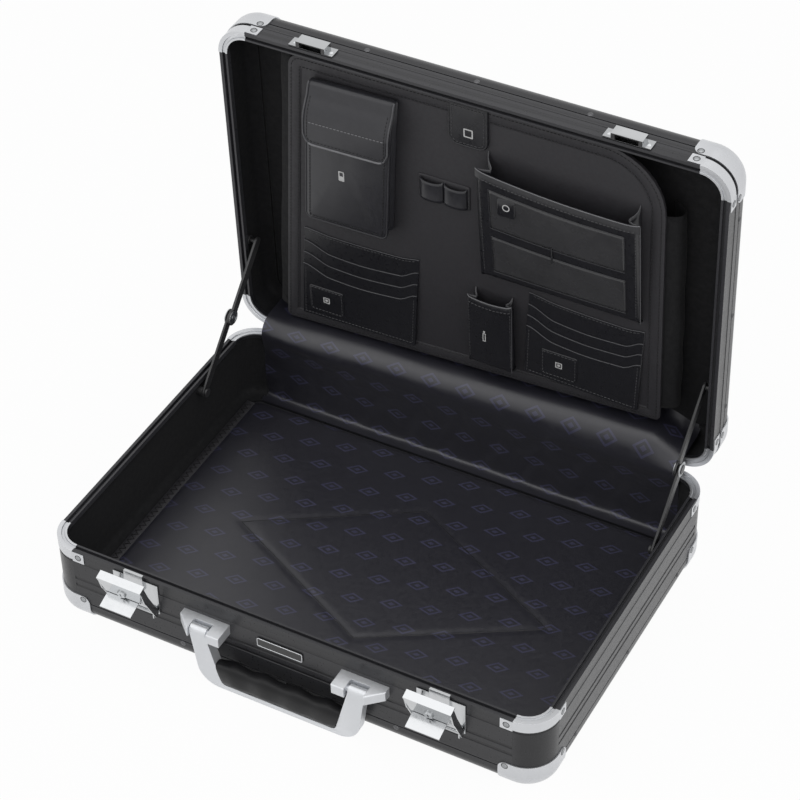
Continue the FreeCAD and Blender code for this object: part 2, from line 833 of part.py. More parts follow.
def hasp():
    top_in = (hasp_top_out, lip_low)
    plate = across([
        (hasp_foot_out, hasp_foot_z),
        (hasp_foot_out + hasp_sheet, hasp_foot_z),
        (hasp_top_out + hasp_sheet, lip_low + hasp_sheet),
        (hasp_lip_in, lip_low + hasp_sheet),
        (hasp_lip_in, lip_low),
        top_in,
    ], -hasp_width / 2, hasp_width / 2)
    deep = hasp_foot_out + 2 * hasp_sheet
    trapezoid = face_of(
        lambda x, z: V(x, -half_depth, z),
        (-hasp_fold_width / 2, hasp_foot_z),
        ((hasp_fold_width / 2, hasp_foot_z),),
        ((hasp_width / 2, lip_low),),
        ((hasp_width / 2, lip_low + 2 * hasp_sheet),),
        ((-hasp_width / 2, lip_low + 2 * hasp_sheet),),
        ((-hasp_width / 2, lip_low),),
    ).extrude(V(0, -deep, 0))
    body = plate.common(trapezoid)
    root = latch_sheet + latch_arm_gap
    foot = latch_pin_radius + latch_pin_margin
    arm_points = [
        (root, latch_pivot[1]),
        (latch_pivot[0] - latch_arm_gap, latch_pivot[1] - foot),
        (latch_pivot[0] + foot, latch_pivot[1] - foot),
        (flap_axis[0] + flap_pin_radius + flap_pin_margin, flap_axis[1]),
        (hasp_foot_out + hasp_sheet / 2, hasp_foot_z),
        (hasp_top_out + hasp_sheet / 2, lip_low + hasp_sheet / 2),
        (keeper_sheet + 2 * hasp_sheet, lip_low + hasp_sheet / 2),
        (keeper_sheet + 2 * hasp_sheet, base_height - latch_plate_top),
        (root, latch_pivot[1] + foot),
    ]
    arms = [across(arm_points, arm_in_x, arm_out_x), across(arm_points, -arm_out_x, -arm_in_x)]
    pin = rod_x(-arm_in_x, arm_in_x, -half_depth - flap_axis[0], flap_axis[1], flap_pin_radius)
    whole = body.fuse(arms + [pin]).removeSplitter()
    pivot_bore = rod_x(-arm_out_x, arm_out_x, -half_depth - latch_pivot[0], latch_pivot[1],
                       latch_pin_radius + fit_gap)
    plug_bore = Part.makeCylinder(plug_radius + fit_gap, deep, V(0, -half_depth - keeper_hood_height, plug_z),
                                  V(0, -1, 0))
    return whole.cut(Part.makeCompound([pivot_bore, plug_bore]))


def finger_flap():
    barrel = rod_x(-flap_width / 2, flap_width / 2, -half_depth - flap_axis[0], flap_axis[1],
                   flap_barrel_radius)
    top = flap_axis[1] + flap_barrel_radius
    plate = out_box(-flap_width / 2, flap_width / 2, flap_axis[0], flap_axis[0] + flap_length,
                    top - flap_sheet, top)
    bore = rod_x(-flap_width / 2, flap_width / 2, -half_depth - flap_axis[0], flap_axis[1],
                 flap_pin_radius + fit_gap)
    return barrel.fuse(plate).removeSplitter().cut(bore)


plug_z = hasp_foot_z + plug_rise + plug_radius
plug_back = keeper_hood_height + 2 * seat_gap


def lock_plug():
    back = V(0, -half_depth - plug_back, plug_z)
    body = Part.makeCylinder(plug_radius, plug_length + plug_flange, back, V(0, -1, 0))
    flange = Part.makeCylinder(plug_radius + plug_flange, plug_flange, back, V(0, -1, 0))
    face = plug_back + plug_length + plug_flange
    key = out_box(-plug_key_width / 2, plug_key_width / 2, face - plug_key_depth, face,
                  plug_z - plug_key_length / 2, plug_z + plug_key_length / 2)
    return body.fuse(flange).removeSplitter().cut(key)


def keeper():
    half = keeper_width / 2
    plate = out_box(-half, half, 0, keeper_sheet, keeper_low, keeper_high)
    hood = out_box(-keeper_hood_width / 2, keeper_hood_width / 2, 0, keeper_hood_height,
                   keeper_low, keeper_high)
    slot = out_box(-keeper_slot_width / 2, keeper_slot_width / 2, keeper_slot_floor,
                   keeper_slot_floor + keeper_slot_height, keeper_low, keeper_low + keeper_slot_depth)
    heads = []
    for sign in (-1, 1):
        at = (sign * keeper_rivet_offset, -half_depth - keeper_sheet, (keeper_low + keeper_high) / 2)
        heads.append(shifted(rivet(keeper_sheet), *at))
    return plate.fuse([hood] + heads).removeSplitter().cut(slot)


def swung_hasp(shape):
    pivot = V(0, -half_depth - latch_pivot[0], latch_pivot[1])
    return turned(shape, pivot, V(1, 0, 0), latch_open_angle)


for side_name, sign in (("left", -1), ("right", 1)):
    x = sign * latch_centre
    keep("latch_plate_" + side_name, shifted(latch_plate(), x, 0, 0))
    keep("latch_hasp_" + side_name, shifted(swung_hasp(hasp()), x, 0, 0))
    keep("latch_flap_" + side_name, shifted(swung_hasp(finger_flap()), x, 0, 0))
    keep("lock_plug_" + side_name, shifted(swung_hasp(lock_plug()), x, 0, 0))
    keep_lid("keeper_" + side_name, shifted(keeper(), x, 0, 0))


# Handle: two brackets with pins, a metal bow and a soft grip

bracket_high = base_height - bracket_top_drop
bracket_low = bracket_high - bracket_height
handle_axis_z = (bracket_high + bracket_low) / 2
slot_half = arm_width / 2 + arm_side_gap
slot_start = handle_axis_out - bow_thickness / 2 - arm_slot_clearance
bow_back = -half_depth - handle_axis_out + bow_thickness / 2
bow_outer_top = handle_centre + arm_width / 2
bow_outer_bottom = bow_outer_top - bow_taper
bow_inner_top = handle_centre - arm_width / 2
bow_inner_bottom = bow_outer_bottom - bow_arm_foot
bow_bar_top = bow_floor_gap + bow_bar
bow_lean = (bow_inner_top - bow_inner_bottom) / (handle_axis_z - bow_bar_top)
arm_lean = bow_lean * (bracket_depth - handle_axis_out)


def handle_bracket():
    """The right bracket about x = 0; its outer side slants."""
    half = bracket_width / 2
    plan = [(-half, -half_depth), (half, -half_depth), (half, -half_depth - bracket_outer_depth)]
    plan += [(half - bracket_slant, -half_depth - bracket_depth), (-half, -half_depth - bracket_depth)]
    body = prism(plan, bracket_low, bracket_high)
    free = [e for e in body.Edges if e.BoundBox.YMax < -half_depth - fit_gap]
    body = body.makeFillet(bracket_round, free)
    slot = out_box(-slot_half - arm_lean, slot_half, slot_start, bracket_depth + bracket_round,
                   bracket_low - cut_overrun, bracket_high + cut_overrun)
    reach = slot_half + 2 * handle_pin_radius
    pin = rod_x(-reach, reach, -half_depth - handle_axis_out, handle_axis_z, handle_pin_radius)
    return body.cut(slot).fuse(pin)


def trapezoid_face(top_half, bottom_half, top, bottom, radius, y):
    """An upright U outline: open square top, round lower corners."""
    lean = math.atan2(top_half - bottom_half, top - bottom)
    tangent = radius * math.tan(math.radians(45) - lean / 2)
    up_x = math.sin(lean)
    up_z = math.cos(lean)
    left_tangent = (-bottom_half - tangent * up_x, bottom + tangent * up_z)
    centre = (-bottom_half + tangent, bottom + radius)
    spread = math.degrees(math.atan2(left_tangent[1] - centre[1], left_tangent[0] - centre[0])) % 360
    middle = corner_point(centre[0], centre[1], radius, (spread + 270) / 2)
    steps = [
        (left_tangent,),
        (middle, (-bottom_half + tangent, bottom)),
        ((bottom_half - tangent, bottom),),
        ((-middle[0], middle[1]), (-left_tangent[0], left_tangent[1])),
        ((top_half, top),),
    ]
    return face_of(lambda x, z: V(x, y, z), (-top_half, top), *steps)


def handle_bow():
    outer = trapezoid_face(bow_outer_top, bow_outer_bottom, handle_axis_z, bow_floor_gap,
                           bow_corner, bow_back)
    inner = trapezoid_face(bow_inner_top, bow_inner_bottom, handle_axis_z, bow_bar_top, bow_bar, bow_back)
    body = outer.cut(inner).extrude(V(0, -bow_thickness, 0))
    eyes = []
    bores = []
    for sign in (-1, 1):
        x0 = sign * handle_centre - arm_width / 2
        x1 = x0 + arm_width
        eyes.append(rod_x(x0, x1, -half_depth - handle_axis_out, handle_axis_z, bow_thickness / 2))
        bores.append(rod_x(x0 - arm_lean, x1 + arm_lean, -half_depth - handle_axis_out, handle_axis_z,
                           handle_pin_radius + fit_gap))
    return body.fuse(eyes).removeSplitter().cut(Part.makeCompound(bores))


def handle_grip():
    """A rounded bar on the bow's lower bar with finger waves along its upper side."""
    top = bow_bar_top + grip_height
    low_half = bow_inner_bottom - bow_bar - grip_end_gap
    high_half = bow_inner_bottom + bow_lean * grip_height - bow_bar - grip_end_gap
    wave = 2 * high_half / grip_bumps
    front = -half_depth - handle_axis_out - grip_thickness / 2
    steps = [((low_half, bow_bar_top),), ((high_half, top),)]
    for index in range(grip_bumps):
        x = high_half - index * wave
        steps.append(((x - wave / 2, top + grip_bump_rise), (x - wave, top)))
    face = face_of(lambda x, z: V(x, front, z), (-low_half, bow_bar_top), *steps)
    body = face.extrude(V(0, grip_thickness, 0))
    ends = [e for e in body.Edges if e.BoundBox.YLength < fit_gap and e.BoundBox.ZMin < top - cut_overrun]
    return body.makeFillet(grip_round, ends)


bracket = handle_bracket()
keep("handle_brackets", shifted(bracket, handle_centre, 0, 0))
keep("handle_brackets", shifted(bracket.mirror(V(0, 0, 0), V(1, 0, 0)), -handle_centre, 0, 0))
keep("handle_bow", handle_bow())
keep("handle_grip", handle_grip())

badge_high = base_height - badge_top_drop
badge = rounded_slab(badge_width / 2, badge_height / 2, badge_corner, 0, badge_thickness)
badge = turned(badge, V(0, 0, 0), V(1, 0, 0), 90)
keep("badge_plate", shifted(badge, badge_offset, -half_depth, badge_high - badge_height / 2))


# Organiser, drawn in the closed lid

def at_depth(depth):
    return lid_rim_z + depth


front_z = at_depth(organiser_depth)
panel_back_z = at_depth(organiser_depth + organiser_thickness)
left_top = (-half_width + organiser_left_top, -half_depth + organiser_top)
left_bottom = (-half_width + organiser_left_bottom, half_depth - organiser_bottom_left)
right_top = (half_width - organiser_right_top, -half_depth + organiser_top)
right_bottom = (half_width - organiser_right_bottom, half_depth - organiser_bottom_right)


def leaning(left, low, width, height, lean, slope):
    """Four corners of a pocket from its lower left corner, the first two along its top."""
    high = low - height
    top = ((left + lean, high), (left + lean + width, high + slope))
    return top + ((left + width, low + slope), (left, low))


card_left_corners = leaning(left_bottom[0] + card_left_inset, left_bottom[1] - card_left_bottom,
                            card_left_width, card_left_height, card_left_lean, card_left_slope)
slim_left = card_left_corners[2][0] + slim_card_gap
slim_right = slim_left + slim_width
slim_low = right_bottom[1] - slim_bottom
card_right_left = slim_right + card_right_slim_gap
card_right_width = right_bottom[0] - card_right_inset - card_right_left
card_right_low = right_bottom[1] - card_right_bottom - card_right_slope
card_right_corners = leaning(card_right_left, card_right_low, card_right_width, card_right_height,
                             card_right_lean, card_right_slope)
phone_left = left_top[0] + phone_inset - phone_lean
phone_low = card_left_corners[0][1] - phone_card_gap
phone_height = phone_low - left_top[1] - phone_top
phone_corners = leaning(phone_left, phone_low, phone_width, phone_height, phone_lean, -phone_slope)
pen_left = phone_corners[1][0] + pen_phone_gap
pen_high = left_top[1] + pen_top
pen_right = pen_left + 2 * pen_loop_width + seat_gap
accessory_left = pen_right + accessory_pen_gap
accessory_right = right_bottom[0] - accessory_inset
accessory_high = right_top[1] + accessory_top
accessory_low = card_right_corners[0][1] - accessory_card_gap


def organiser_panel():
    slab = prism([left_top, right_top, right_bottom, left_bottom], front_z, panel_back_z)
    for point, radius in ((left_top, organiser_corner_left), (right_top, organiser_corner_right)):
        at_corner = V(point[0], point[1], (front_z + panel_back_z) / 2)
        edge = [e for e in slab.Edges if (e.CenterOfMass - at_corner).Length < seat_gap]
        slab = slab.makeFillet(radius, edge)
    return slab


def open_pouch(points, depth):
    """A flat pouch on the panel's front, walls all round but open along its first edge."""
    outer = prism(points, front_z - depth, front_z)
    (ax, ay), (bx, by), (cx, cy), (dx, dy) = points
    wall = cloth_wall
    inner_points = [(ax + wall, ay - cut_overrun), (bx - wall, by - cut_overrun)]
    inner_points += [(cx - wall, cy - wall), (dx + wall, dy - wall)]
    return outer.cut(prism(inner_points, front_z - depth + wall, front_z - wall / 2))


def phone_flap():
    """A leather flap over the pouch's mouth and the upper part of its front."""
    (ax, ay), (bx, by), (cx, cy), (dx, dy) = phone_corners
    share = phone_flap_length / (dy - ay)
    low_left = (ax + (dx - ax) * share, ay + phone_flap_length)
    low_right = (bx + (cx - bx) * share, by + phone_flap_length)
    rise = phone_flap_gap + phone_flap_thickness
    outline = [(ax, ay - rise), (bx, by - rise), low_right, low_left]
    outer_z = front_z - phone_depth - phone_flap_gap
    front = prism(outline, outer_z - phone_flap_thickness, outer_z)
    roof = prism([(ax, ay - rise), (bx, by - rise), (bx, by - phone_flap_gap), (ax, ay - phone_flap_gap)],
                 outer_z - phone_flap_thickness, front_z - phone_flap_gap)
    return front.fuse(roof).removeSplitter()


def pen_loops():
    made = []
    for index in range(2):
        x0 = pen_left + index * (pen_loop_width + seat_gap)
        x1 = x0 + pen_loop_width
        y1 = pen_high + pen_loop_length
        outer = box(x0, x1, pen_high, y1, front_z - pen_loop_depth, front_z)
        inner = box(x0 + cloth_wall, x1 - cloth_wall, pen_high - cut_overrun, y1 + cut_overrun,
                    front_z - pen_loop_depth + cloth_wall, front_z + cut_overrun)
        feet = [box(x0, x1, pen_high, y1, front_z - cloth_wall / 2, front_z)]
        made.append(outer.cut(inner).fuse(feet).removeSplitter())
    return made


def accessory_pocket():
    """A wedge pocket, widest at its mouth, with the panel for its back."""
    def wedge(x0, x1, y0, y1, mouth, foot, back):
        points = lines((y1, front_z - foot), (y0, front_z - mouth), (y0, back))
        return face_of(lambda y, z: V(x0, y, z), (y1, back), *points).extrude(V(x1 - x0, 0, 0))

    outer = wedge(accessory_left, accessory_right, accessory_high, accessory_low,
                  accessory_mouth, accessory_base, front_z)
    inner = wedge(accessory_left + cloth_wall, accessory_right - cloth_wall, accessory_high - cut_overrun,
                  accessory_low - cloth_wall, accessory_mouth - cloth_wall, accessory_base - cloth_wall,
                  front_z - cloth_wall / 2)
    return outer.cut(inner)


def card_pocket(points):
    """Stepped layers, each lower in front of the one behind."""
    (ax, ay), (bx, by), (cx, cy), (dx, dy) = points
    layers = []
    for index, share in enumerate(card_steps):
        left = (ax + (dx - ax) * share, ay + (dy - ay) * share)
        right = (bx + (cx - bx) * share, by + (cy - by) * share)
        high = front_z - index * card_layer
        layers.append(prism([left, right, (cx, cy), (dx, dy)], high - card_layer, high))
    return layers[0].fuse(layers[1:]).removeSplitter()


def closure_tab():
    x = tab_width / 2
    y0 = -half_depth + tab_top
    slab = box(-x, x, y0, y0 + tab_length, front_z - tab_thickness, front_z)
    low = [e for e in slab.Edges if e.BoundBox.ZLength > cut_overrun and e.BoundBox.YMin > y0 + cut_overrun]
    return slab.makeFillet(tab_round, low)


def gusset(top, bottom, sign):
    """A thin cloth side between the panel's back and the lid's back lining."""
    low = panel_back_z + seat_gap
    high = lid_top_z - panel_top - liner_thickness - seat_gap
    lean = (bottom[0] - top[0]) / (bottom[1] - top[1])
    y0 = top[1] + organiser_corner_right
    y1 = bottom[1] - organiser_corner_left
    x0 = top[0] + lean * (y0 - top[1])
    x1 = top[0] + lean * (y1 - top[1])
    wide = -sign * gusset_thickness
    return prism([(x0, y0), (x1, y1), (x1 + wide, y1), (x0 + wide, y0)], low, high)


keep_lid("organiser_panel", organiser_panel())
keep_lid("phone_pouch", open_pouch(phone_corners, phone_depth))
keep_lid("phone_flap", phone_flap())
keep_lid("pen_loops", *pen_loops())
keep_lid("accessory_pocket", accessory_pocket())
slim_corners = leaning(slim_left, slim_low, slim_width, slim_height, 0, 0)
keep_lid("slim_pouch", open_pouch(slim_corners, slim_depth))
keep_lid("card_pocket_left", card_pocket(card_left_corners))
keep_lid("card_pocket_right", card_pocket(card_right_corners))
keep_lid("closure_tab", closure_tab())
keep_lid("organiser_gussets", gusset(left_top, left_bottom, -1), gusset(right_top, right_bottom, 1))

for name, solids in nodes.items():
    shape = solids[0] if len(solids) == 1 else Part.makeCompound(solids)
    shape.exportStep("parts/" + name + ".step")
print(len(nodes), "nodes,", sum(len(solids) for solids in nodes.values()), "pieces")
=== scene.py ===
import json
import math
from itertools import product
import bmesh
import bpy
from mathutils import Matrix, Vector, noise
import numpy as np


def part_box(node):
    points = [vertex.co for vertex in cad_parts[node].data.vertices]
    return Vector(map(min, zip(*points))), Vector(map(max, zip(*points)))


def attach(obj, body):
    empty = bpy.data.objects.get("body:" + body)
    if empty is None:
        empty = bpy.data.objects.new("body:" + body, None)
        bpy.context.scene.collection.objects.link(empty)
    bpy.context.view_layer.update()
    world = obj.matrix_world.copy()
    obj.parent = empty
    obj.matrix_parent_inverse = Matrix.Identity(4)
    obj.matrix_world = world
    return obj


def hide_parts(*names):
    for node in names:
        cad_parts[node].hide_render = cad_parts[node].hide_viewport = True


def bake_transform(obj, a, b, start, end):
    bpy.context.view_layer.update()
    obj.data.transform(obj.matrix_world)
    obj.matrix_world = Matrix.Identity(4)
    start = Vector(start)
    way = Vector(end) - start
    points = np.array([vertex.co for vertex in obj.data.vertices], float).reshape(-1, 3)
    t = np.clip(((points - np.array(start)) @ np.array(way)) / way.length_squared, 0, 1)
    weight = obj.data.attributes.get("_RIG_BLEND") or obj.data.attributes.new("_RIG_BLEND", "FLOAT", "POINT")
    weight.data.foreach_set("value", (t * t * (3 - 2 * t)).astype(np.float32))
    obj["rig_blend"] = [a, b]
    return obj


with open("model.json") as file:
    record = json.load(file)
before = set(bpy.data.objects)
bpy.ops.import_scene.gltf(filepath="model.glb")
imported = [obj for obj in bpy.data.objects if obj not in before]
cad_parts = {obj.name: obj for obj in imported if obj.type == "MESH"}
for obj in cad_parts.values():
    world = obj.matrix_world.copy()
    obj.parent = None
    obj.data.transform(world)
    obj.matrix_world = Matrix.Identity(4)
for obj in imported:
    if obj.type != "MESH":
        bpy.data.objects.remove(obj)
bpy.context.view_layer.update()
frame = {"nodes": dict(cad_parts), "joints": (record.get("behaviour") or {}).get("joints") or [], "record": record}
scene = bpy.context.scene
scene.view_settings.view_transform = "Standard"
mm = 0.001
record = frame["record"]
bodyOf = {node: body for body, nodes in record["behaviour"]["bodies"].items() for node in nodes}
jointOf = {joint["name"]: joint for joint in frame["joints"]}
print("frame loaded with", len(frame["nodes"]), "nodes")

# all shapes below are in millimetres, turned to metres where they are placed
case = {"halfWidth": 230.0, "halfDepth": 160.0, "baseRim": 78.0, "lidRim": 40.0, "corner": 27.0, "rimGap": 0.4}
lidHinge = jointOf["lid_hinge"]
hingeAt = Vector(lidHinge["pos_m"]) / mm
lidOpen = math.radians(lidHinge["range_deg"][1])
lidCos, lidSin = math.cos(lidOpen), math.sin(lidOpen)
rimLift = case["baseRim"] + case["rimGap"] - hingeAt.z


def basePlace(x, y, z):
    return Vector((x, y, z)) * mm


# x to the right, h up the open lid from its middle, out from its rim
def lidPlace(x, h, out):
    reach = h + hingeAt.y
    inward = rimLift - out
    y = hingeAt.y - reach * lidCos + inward * lidSin
    z = hingeAt.z + reach * lidSin + inward * lidCos
    return Vector((x, y, z)) * mm


lidOut = (lidPlace(0, 0, 1) - lidPlace(0, 0, 0)).normalized()
lidUp = (lidPlace(0, 1, 0) - lidPlace(0, 0, 0)).normalized()
baseUp = Vector((0, 0, 1))


# small sums that many shapes share
def clamp(value):
    return min(1.0, max(0.0, value))


def between(first, last, share):
    return first + (last - first) * share


def arch(share):
    return math.sin(math.pi * share)


# from 0 to 1 with a level start and end
def ease(share):
    return share * share * (3 - 2 * share)


def rectangle(left, right, low, high):
    return [(left, high), (right, high), (right, low), (left, low)]


def circle(count, radius=1.0):
    angles = [2 * math.pi * k / count for k in range(count)]
    return [(radius * math.cos(angle), radius * math.sin(angle)) for angle in angles]


# a finish: patches are a noise scale and two tones, gloss a noise scale and two roughnesses,
# bump a noise scale with depth and strength, edge a brighter tone for edges, edge wear and painted edge highlight
class Finish:
    def __init__(self, name, colour, rough, metal=0.0, patches=None, edge=None, gloss=None, bump=None, more=None):
        self.material = bpy.data.materials.new(name)
        self.material.use_nodes = True
        self.material.diffuse_color = (*colour, 1.0)
        self.tree = self.material.node_tree
        self.shader = self.tree.nodes["Principled BSDF"]
        self.height = None
        sockets = {"Base Color": (*colour, 1.0), "Roughness": rough, "Metallic": metal, **(more or {})}
        for key, value in sockets.items():
            self.shader.inputs[key].default_value = value
        if patches:
            scale, dark, light = patches
            body = self.mixed(self.grain(scale), dark, light)
            self.colour(self.wearAndPaintedHighlight(body, edge) if edge else body)
        if gloss:
            self.rough(*gloss)
        if bump:
            self.bump(self.grain(bump[0], 2), *bump[1:])

    def add(self, kind, inputs=None, **settings):
        node = self.tree.nodes.new("ShaderNode" + kind)
        for key, value in settings.items():
            setattr(node, key, value)
        for key, value in (inputs or {}).items():
            node.inputs[key].default_value = value
        return node

    def join(self, output, socket):
        self.tree.links.new(output, socket)

    def coords(self, kind="Object", turn=(0, 0, 0)):
        mapping = self.add("Mapping", {"Rotation": turn})
        self.join(self.add("TexCoord").outputs[kind], mapping.inputs["Vector"])
        return mapping.outputs["Vector"]

    def grain(self, scale, detail=3.0):
        texture = self.add("TexNoise", {"Scale": scale, "Detail": detail, "Roughness": 0.6})
        self.join(self.coords(), texture.inputs["Vector"])
        return texture.outputs["Fac"]

    def cells(self, scale):
        texture = self.add("TexVoronoi", {"Scale": scale}, feature="F1")
        self.join(self.coords(), texture.inputs["Vector"])
        return texture.outputs["Distance"]

    def sums(self, how, first, second=None):
        node = self.add("Math", operation=how)
        for index, value in enumerate((first, second)):
            if isinstance(value, (int, float)):
                node.inputs[index].default_value = value
            elif value is not None:
                self.join(value, node.inputs[index])
        return node.outputs[0]

    def spread(self, value, low, high, start=0.3, end=0.7):
        node = self.add("MapRange", {"From Min": start, "From Max": end, "To Min": low, "To Max": high})
        self.join(value, node.inputs["Value"])
        return node.outputs["Result"]

    def mixed(self, factor, first, second):
        node = self.add("Mix", data_type="RGBA")
        self.join(factor, node.inputs[0])
        for index, colour in ((6, first), (7, second)):
            if isinstance(colour, tuple):
                node.inputs[index].default_value = (*colour, 1.0)
            else:
                self.join(colour, node.inputs[index])
        return node.outputs[2]

    def colour(self, output):
        self.join(output, self.shader.inputs["Base Color"])

    def rough(self, scale, low, high):
        self.join(self.spread(self.grain(scale), low, high), self.shader.inputs["Roughness"])

    def bump(self, value, depth, strength):
        node = self.add("Bump", {"Distance": depth * mm, "Strength": strength})
        self.join(value, node.inputs["Height"])
        if self.height:
            self.join(self.height, node.inputs["Normal"])
        self.height = node.outputs["Normal"]
        self.join(self.height, self.shader.inputs["Normal"])

    # brighter where the mesh turns over an edge: edge wear and a painted edge highlight
    def wearAndPaintedHighlight(self, body, edge):
        point = self.add("NewGeometry").outputs["Pointiness"]
        return self.mixed(self.spread(point, 0.0, 1.0, 0.51, 0.58), body, edge)


# the edge tones below are edge wear and painted edge highlight
anodised = Finish(
    "anodisedBlack", (0.008, 0.008, 0.009), 0.3, more={"IOR": 1.42}, gloss=(420, 0.26, 0.35), bump=(380, 0.03, 0.1),
    patches=(55, (0.0055, 0.0055, 0.007), (0.010, 0.010, 0.012)), edge=(0.045, 0.045, 0.050))
castSilver = Finish(
    "castSilver", (0.69, 0.705, 0.73), 0.4, 0.6, gloss=(300, 0.34, 0.46), bump=(500, 0.04, 0.1),
    patches=(90, (0.66, 0.675, 0.70), (0.72, 0.735, 0.76)), edge=(0.76, 0.775, 0.80))
cornerMetal = Finish(
    "cornerMetal", (0.57, 0.58, 0.60), 0.3, 0.85, gloss=(120, 0.27, 0.36), bump=(240, 0.03, 0.08),
    patches=(90, (0.53, 0.54, 0.56), (0.61, 0.62, 0.64)), edge=(0.68, 0.69, 0.71))
chrome = Finish(
    "polishedChrome", (0.50, 0.51, 0.52), 0.14, 1.0, gloss=(240, 0.1, 0.22),
    patches=(120, (0.42, 0.43, 0.44), (0.49, 0.50, 0.51)), edge=(0.56, 0.57, 0.58))
rivetSteel = Finish(
    "rivetSteel", (0.27, 0.28, 0.29), 0.36, 1.0, gloss=(700, 0.3, 0.44),
    patches=(400, (0.23, 0.24, 0.25), (0.32, 0.33, 0.34)), edge=(0.42, 0.43, 0.44))
railSteel = Finish(
    "railSteel", (0.085, 0.085, 0.09), 0.36, 1.0, gloss=(700, 0.3, 0.44),
    patches=(400, (0.07, 0.07, 0.075), (0.10, 0.10, 0.105)), edge=(0.16, 0.16, 0.165))
blackSteel = Finish(
    "blackSteel", (0.014, 0.014, 0.015), 0.38, more={"IOR": 1.5}, gloss=(500, 0.32, 0.46),
    patches=(150, (0.011, 0.011, 0.012), (0.018, 0.018, 0.019)), edge=(0.05, 0.05, 0.052))
gripRubber = Finish(
    "gripRubber", (0.007, 0.007, 0.008), 0.4, more={"IOR": 1.34}, gloss=(260, 0.34, 0.46),
    patches=(80, (0.005, 0.005, 0.006), (0.010, 0.010, 0.011)))
gripRubber.bump(gripRubber.cells(1100), 0.12, 0.35)
badgeGloss = Finish(
    "badgeGloss", (0.012, 0.012, 0.013), 0.16, gloss=(160, 0.12, 0.22),
    patches=(60, (0.010, 0.010, 0.011), (0.015, 0.015, 0.016)))
bandsPerMetre = 3.183  # of a wave texture at scale 1


# crossing ribs on every face, for cloth that lies at any angle
def weave(finish, pitch, depth, strength):
    ribs = []
    for turn in ((0, 0, 0), (0, 0, math.pi / 2), (0, math.pi / 2, 0)):
        scale = 1.0 / (pitch * mm) / bandsPerMetre
        band = finish.add("TexWave", {"Scale": scale, "Distortion": 0.6, "Detail": 1.0})
        finish.join(finish.coords(turn=turn), band.inputs["Vector"])
        ribs.append(band.outputs["Fac"])
    finish.bump(finish.sums("ADD", finish.sums("ADD", ribs[0], ribs[1]), ribs[2]), depth, strength)


liningCloth = Finish(
    "liningCloth", (0.004, 0.004, 0.005), 0.85, gloss=(200, 0.76, 0.92),
    patches=(700, (0.0025, 0.0025, 0.0032), (0.0060, 0.0060, 0.0072)),
    more={"IOR": 1.4, "Sheen Weight": 0.03, "Sheen Roughness": 0.5})
weave(liningCloth, 1.1, 0.12, 0.35)
panelCloth = Finish(
    "panelCloth", (0.023, 0.022, 0.025), 0.62, gloss=(260, 0.52, 0.68),
    patches=(500, (0.0185, 0.0177, 0.0205), (0.0340, 0.0328, 0.0378)))
weave(panelCloth, 0.9, 0.10, 0.30)


def leatherFinish(name, dark, light, rough):
    hide = Finish(name, light, rough, patches=(120, dark, light), gloss=(350, rough - 0.07, rough + 0.07))
    hide.bump(hide.grain(60, 4), 0.5, 0.12)
    hide.bump(hide.cells(900), 0.1, 0.18)
    return hide


leather = leatherFinish("blackLeather", (0.0095, 0.0095, 0.0120), (0.0185, 0.0185, 0.0225), 0.32)
# a lighter copy of the black leather: its lighter tone is painted sheen from the light above
paintedSheenLeather = leatherFinish("paintedSheenLeather", (0.019, 0.019, 0.023), (0.034, 0.034, 0.040), 0.35)
edgePaint = Finish(
    "edgePaint", (0.085, 0.085, 0.093), 0.42, patches=(220, (0.055, 0.055, 0.060), (0.115, 0.115, 0.125)))
mouthPaint = Finish(
    "mouthPaint", (0.2, 0.2, 0.21), 0.4, patches=(220, (0.14, 0.14, 0.148), (0.26, 0.26, 0.275)))
thread = Finish(
    "greyThread", (0.055, 0.055, 0.059), 0.55, patches=(900, (0.038, 0.038, 0.041), (0.075, 0.075, 0.08)))
darkThread = Finish(
    "darkThread", (0.004, 0.004, 0.0045), 0.6, patches=(900, (0.002, 0.002, 0.0025), (0.006, 0.006, 0.007)))
whiteMark = Finish(
    "whiteMark", (0.72, 0.72, 0.72), 0.6, patches=(800, (0.55, 0.55, 0.55), (0.78, 0.78, 0.78)))
windowVinyl = Finish(
    "windowVinyl", (0.05, 0.05, 0.053), 0.24, more={"IOR": 1.5}, gloss=(70, 0.2, 0.34), bump=(26, 1.2, 0.22),
    patches=(24, (0.032, 0.032, 0.034), (0.07, 0.07, 0.074)))
print("finishes made")


# one piece from its points and faces, with its finish and its place in the frame
def putPiece(name, shape, finish, body=None, replaces=(), slot=None, closed=True, smooth=50, uvs=None):
    verts, faces = shape
    mesh = bpy.data.meshes.new(name)
    mesh.from_pydata([tuple(point) for point in verts], [], faces)
    if closed:
        work = bmesh.new()
        work.from_mesh(mesh)
        bmesh.ops.recalc_face_normals(work, faces=work.faces)
        work.to_mesh(mesh)
        work.free()
    if uvs:
        layer = mesh.uv_layers.new(name="cloth")
        for loop in mesh.loops:
            layer.data[loop.index].uv = uvs[loop.vertex_index]
    mesh.materials.append(finish.material)
    mesh.shade_smooth()
    mesh.set_sharp_from_angle(angle=math.radians(smooth))
    piece = bpy.data.objects.new(name, mesh)
    scene.collection.objects.link(piece)
    if body:
        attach(piece, body)
    if replaces:
        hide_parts(*replaces)
    return piece


# a leather piece or trim of the organiser
def sew(name, shape, finish=leather, body="organiser", replaces=(), **more):
    return putPiece(name, shape, finish, body, replaces, "black_leather", **more)


def thicken(piece, thickness, offset=-1.0):
    skin = piece.modifiers.new("skin", "SOLIDIFY")
    skin.thickness = thickness * mm
    skin.offset = offset


def refine(piece):
    smoothing = piece.modifiers.new("smoothing", "SUBSURF")
    smoothing.levels = 1
    smoothing.render_levels = 1


def camel(name):
    words = name.split("_")
    return words[0] + "".join(word.capitalize() for word in words[1:])


# the metal nodes keep their form and get broken edges that catch the light
polishSet = {"weld": 0.003, "flat": 1.0, "turn": 35.0}


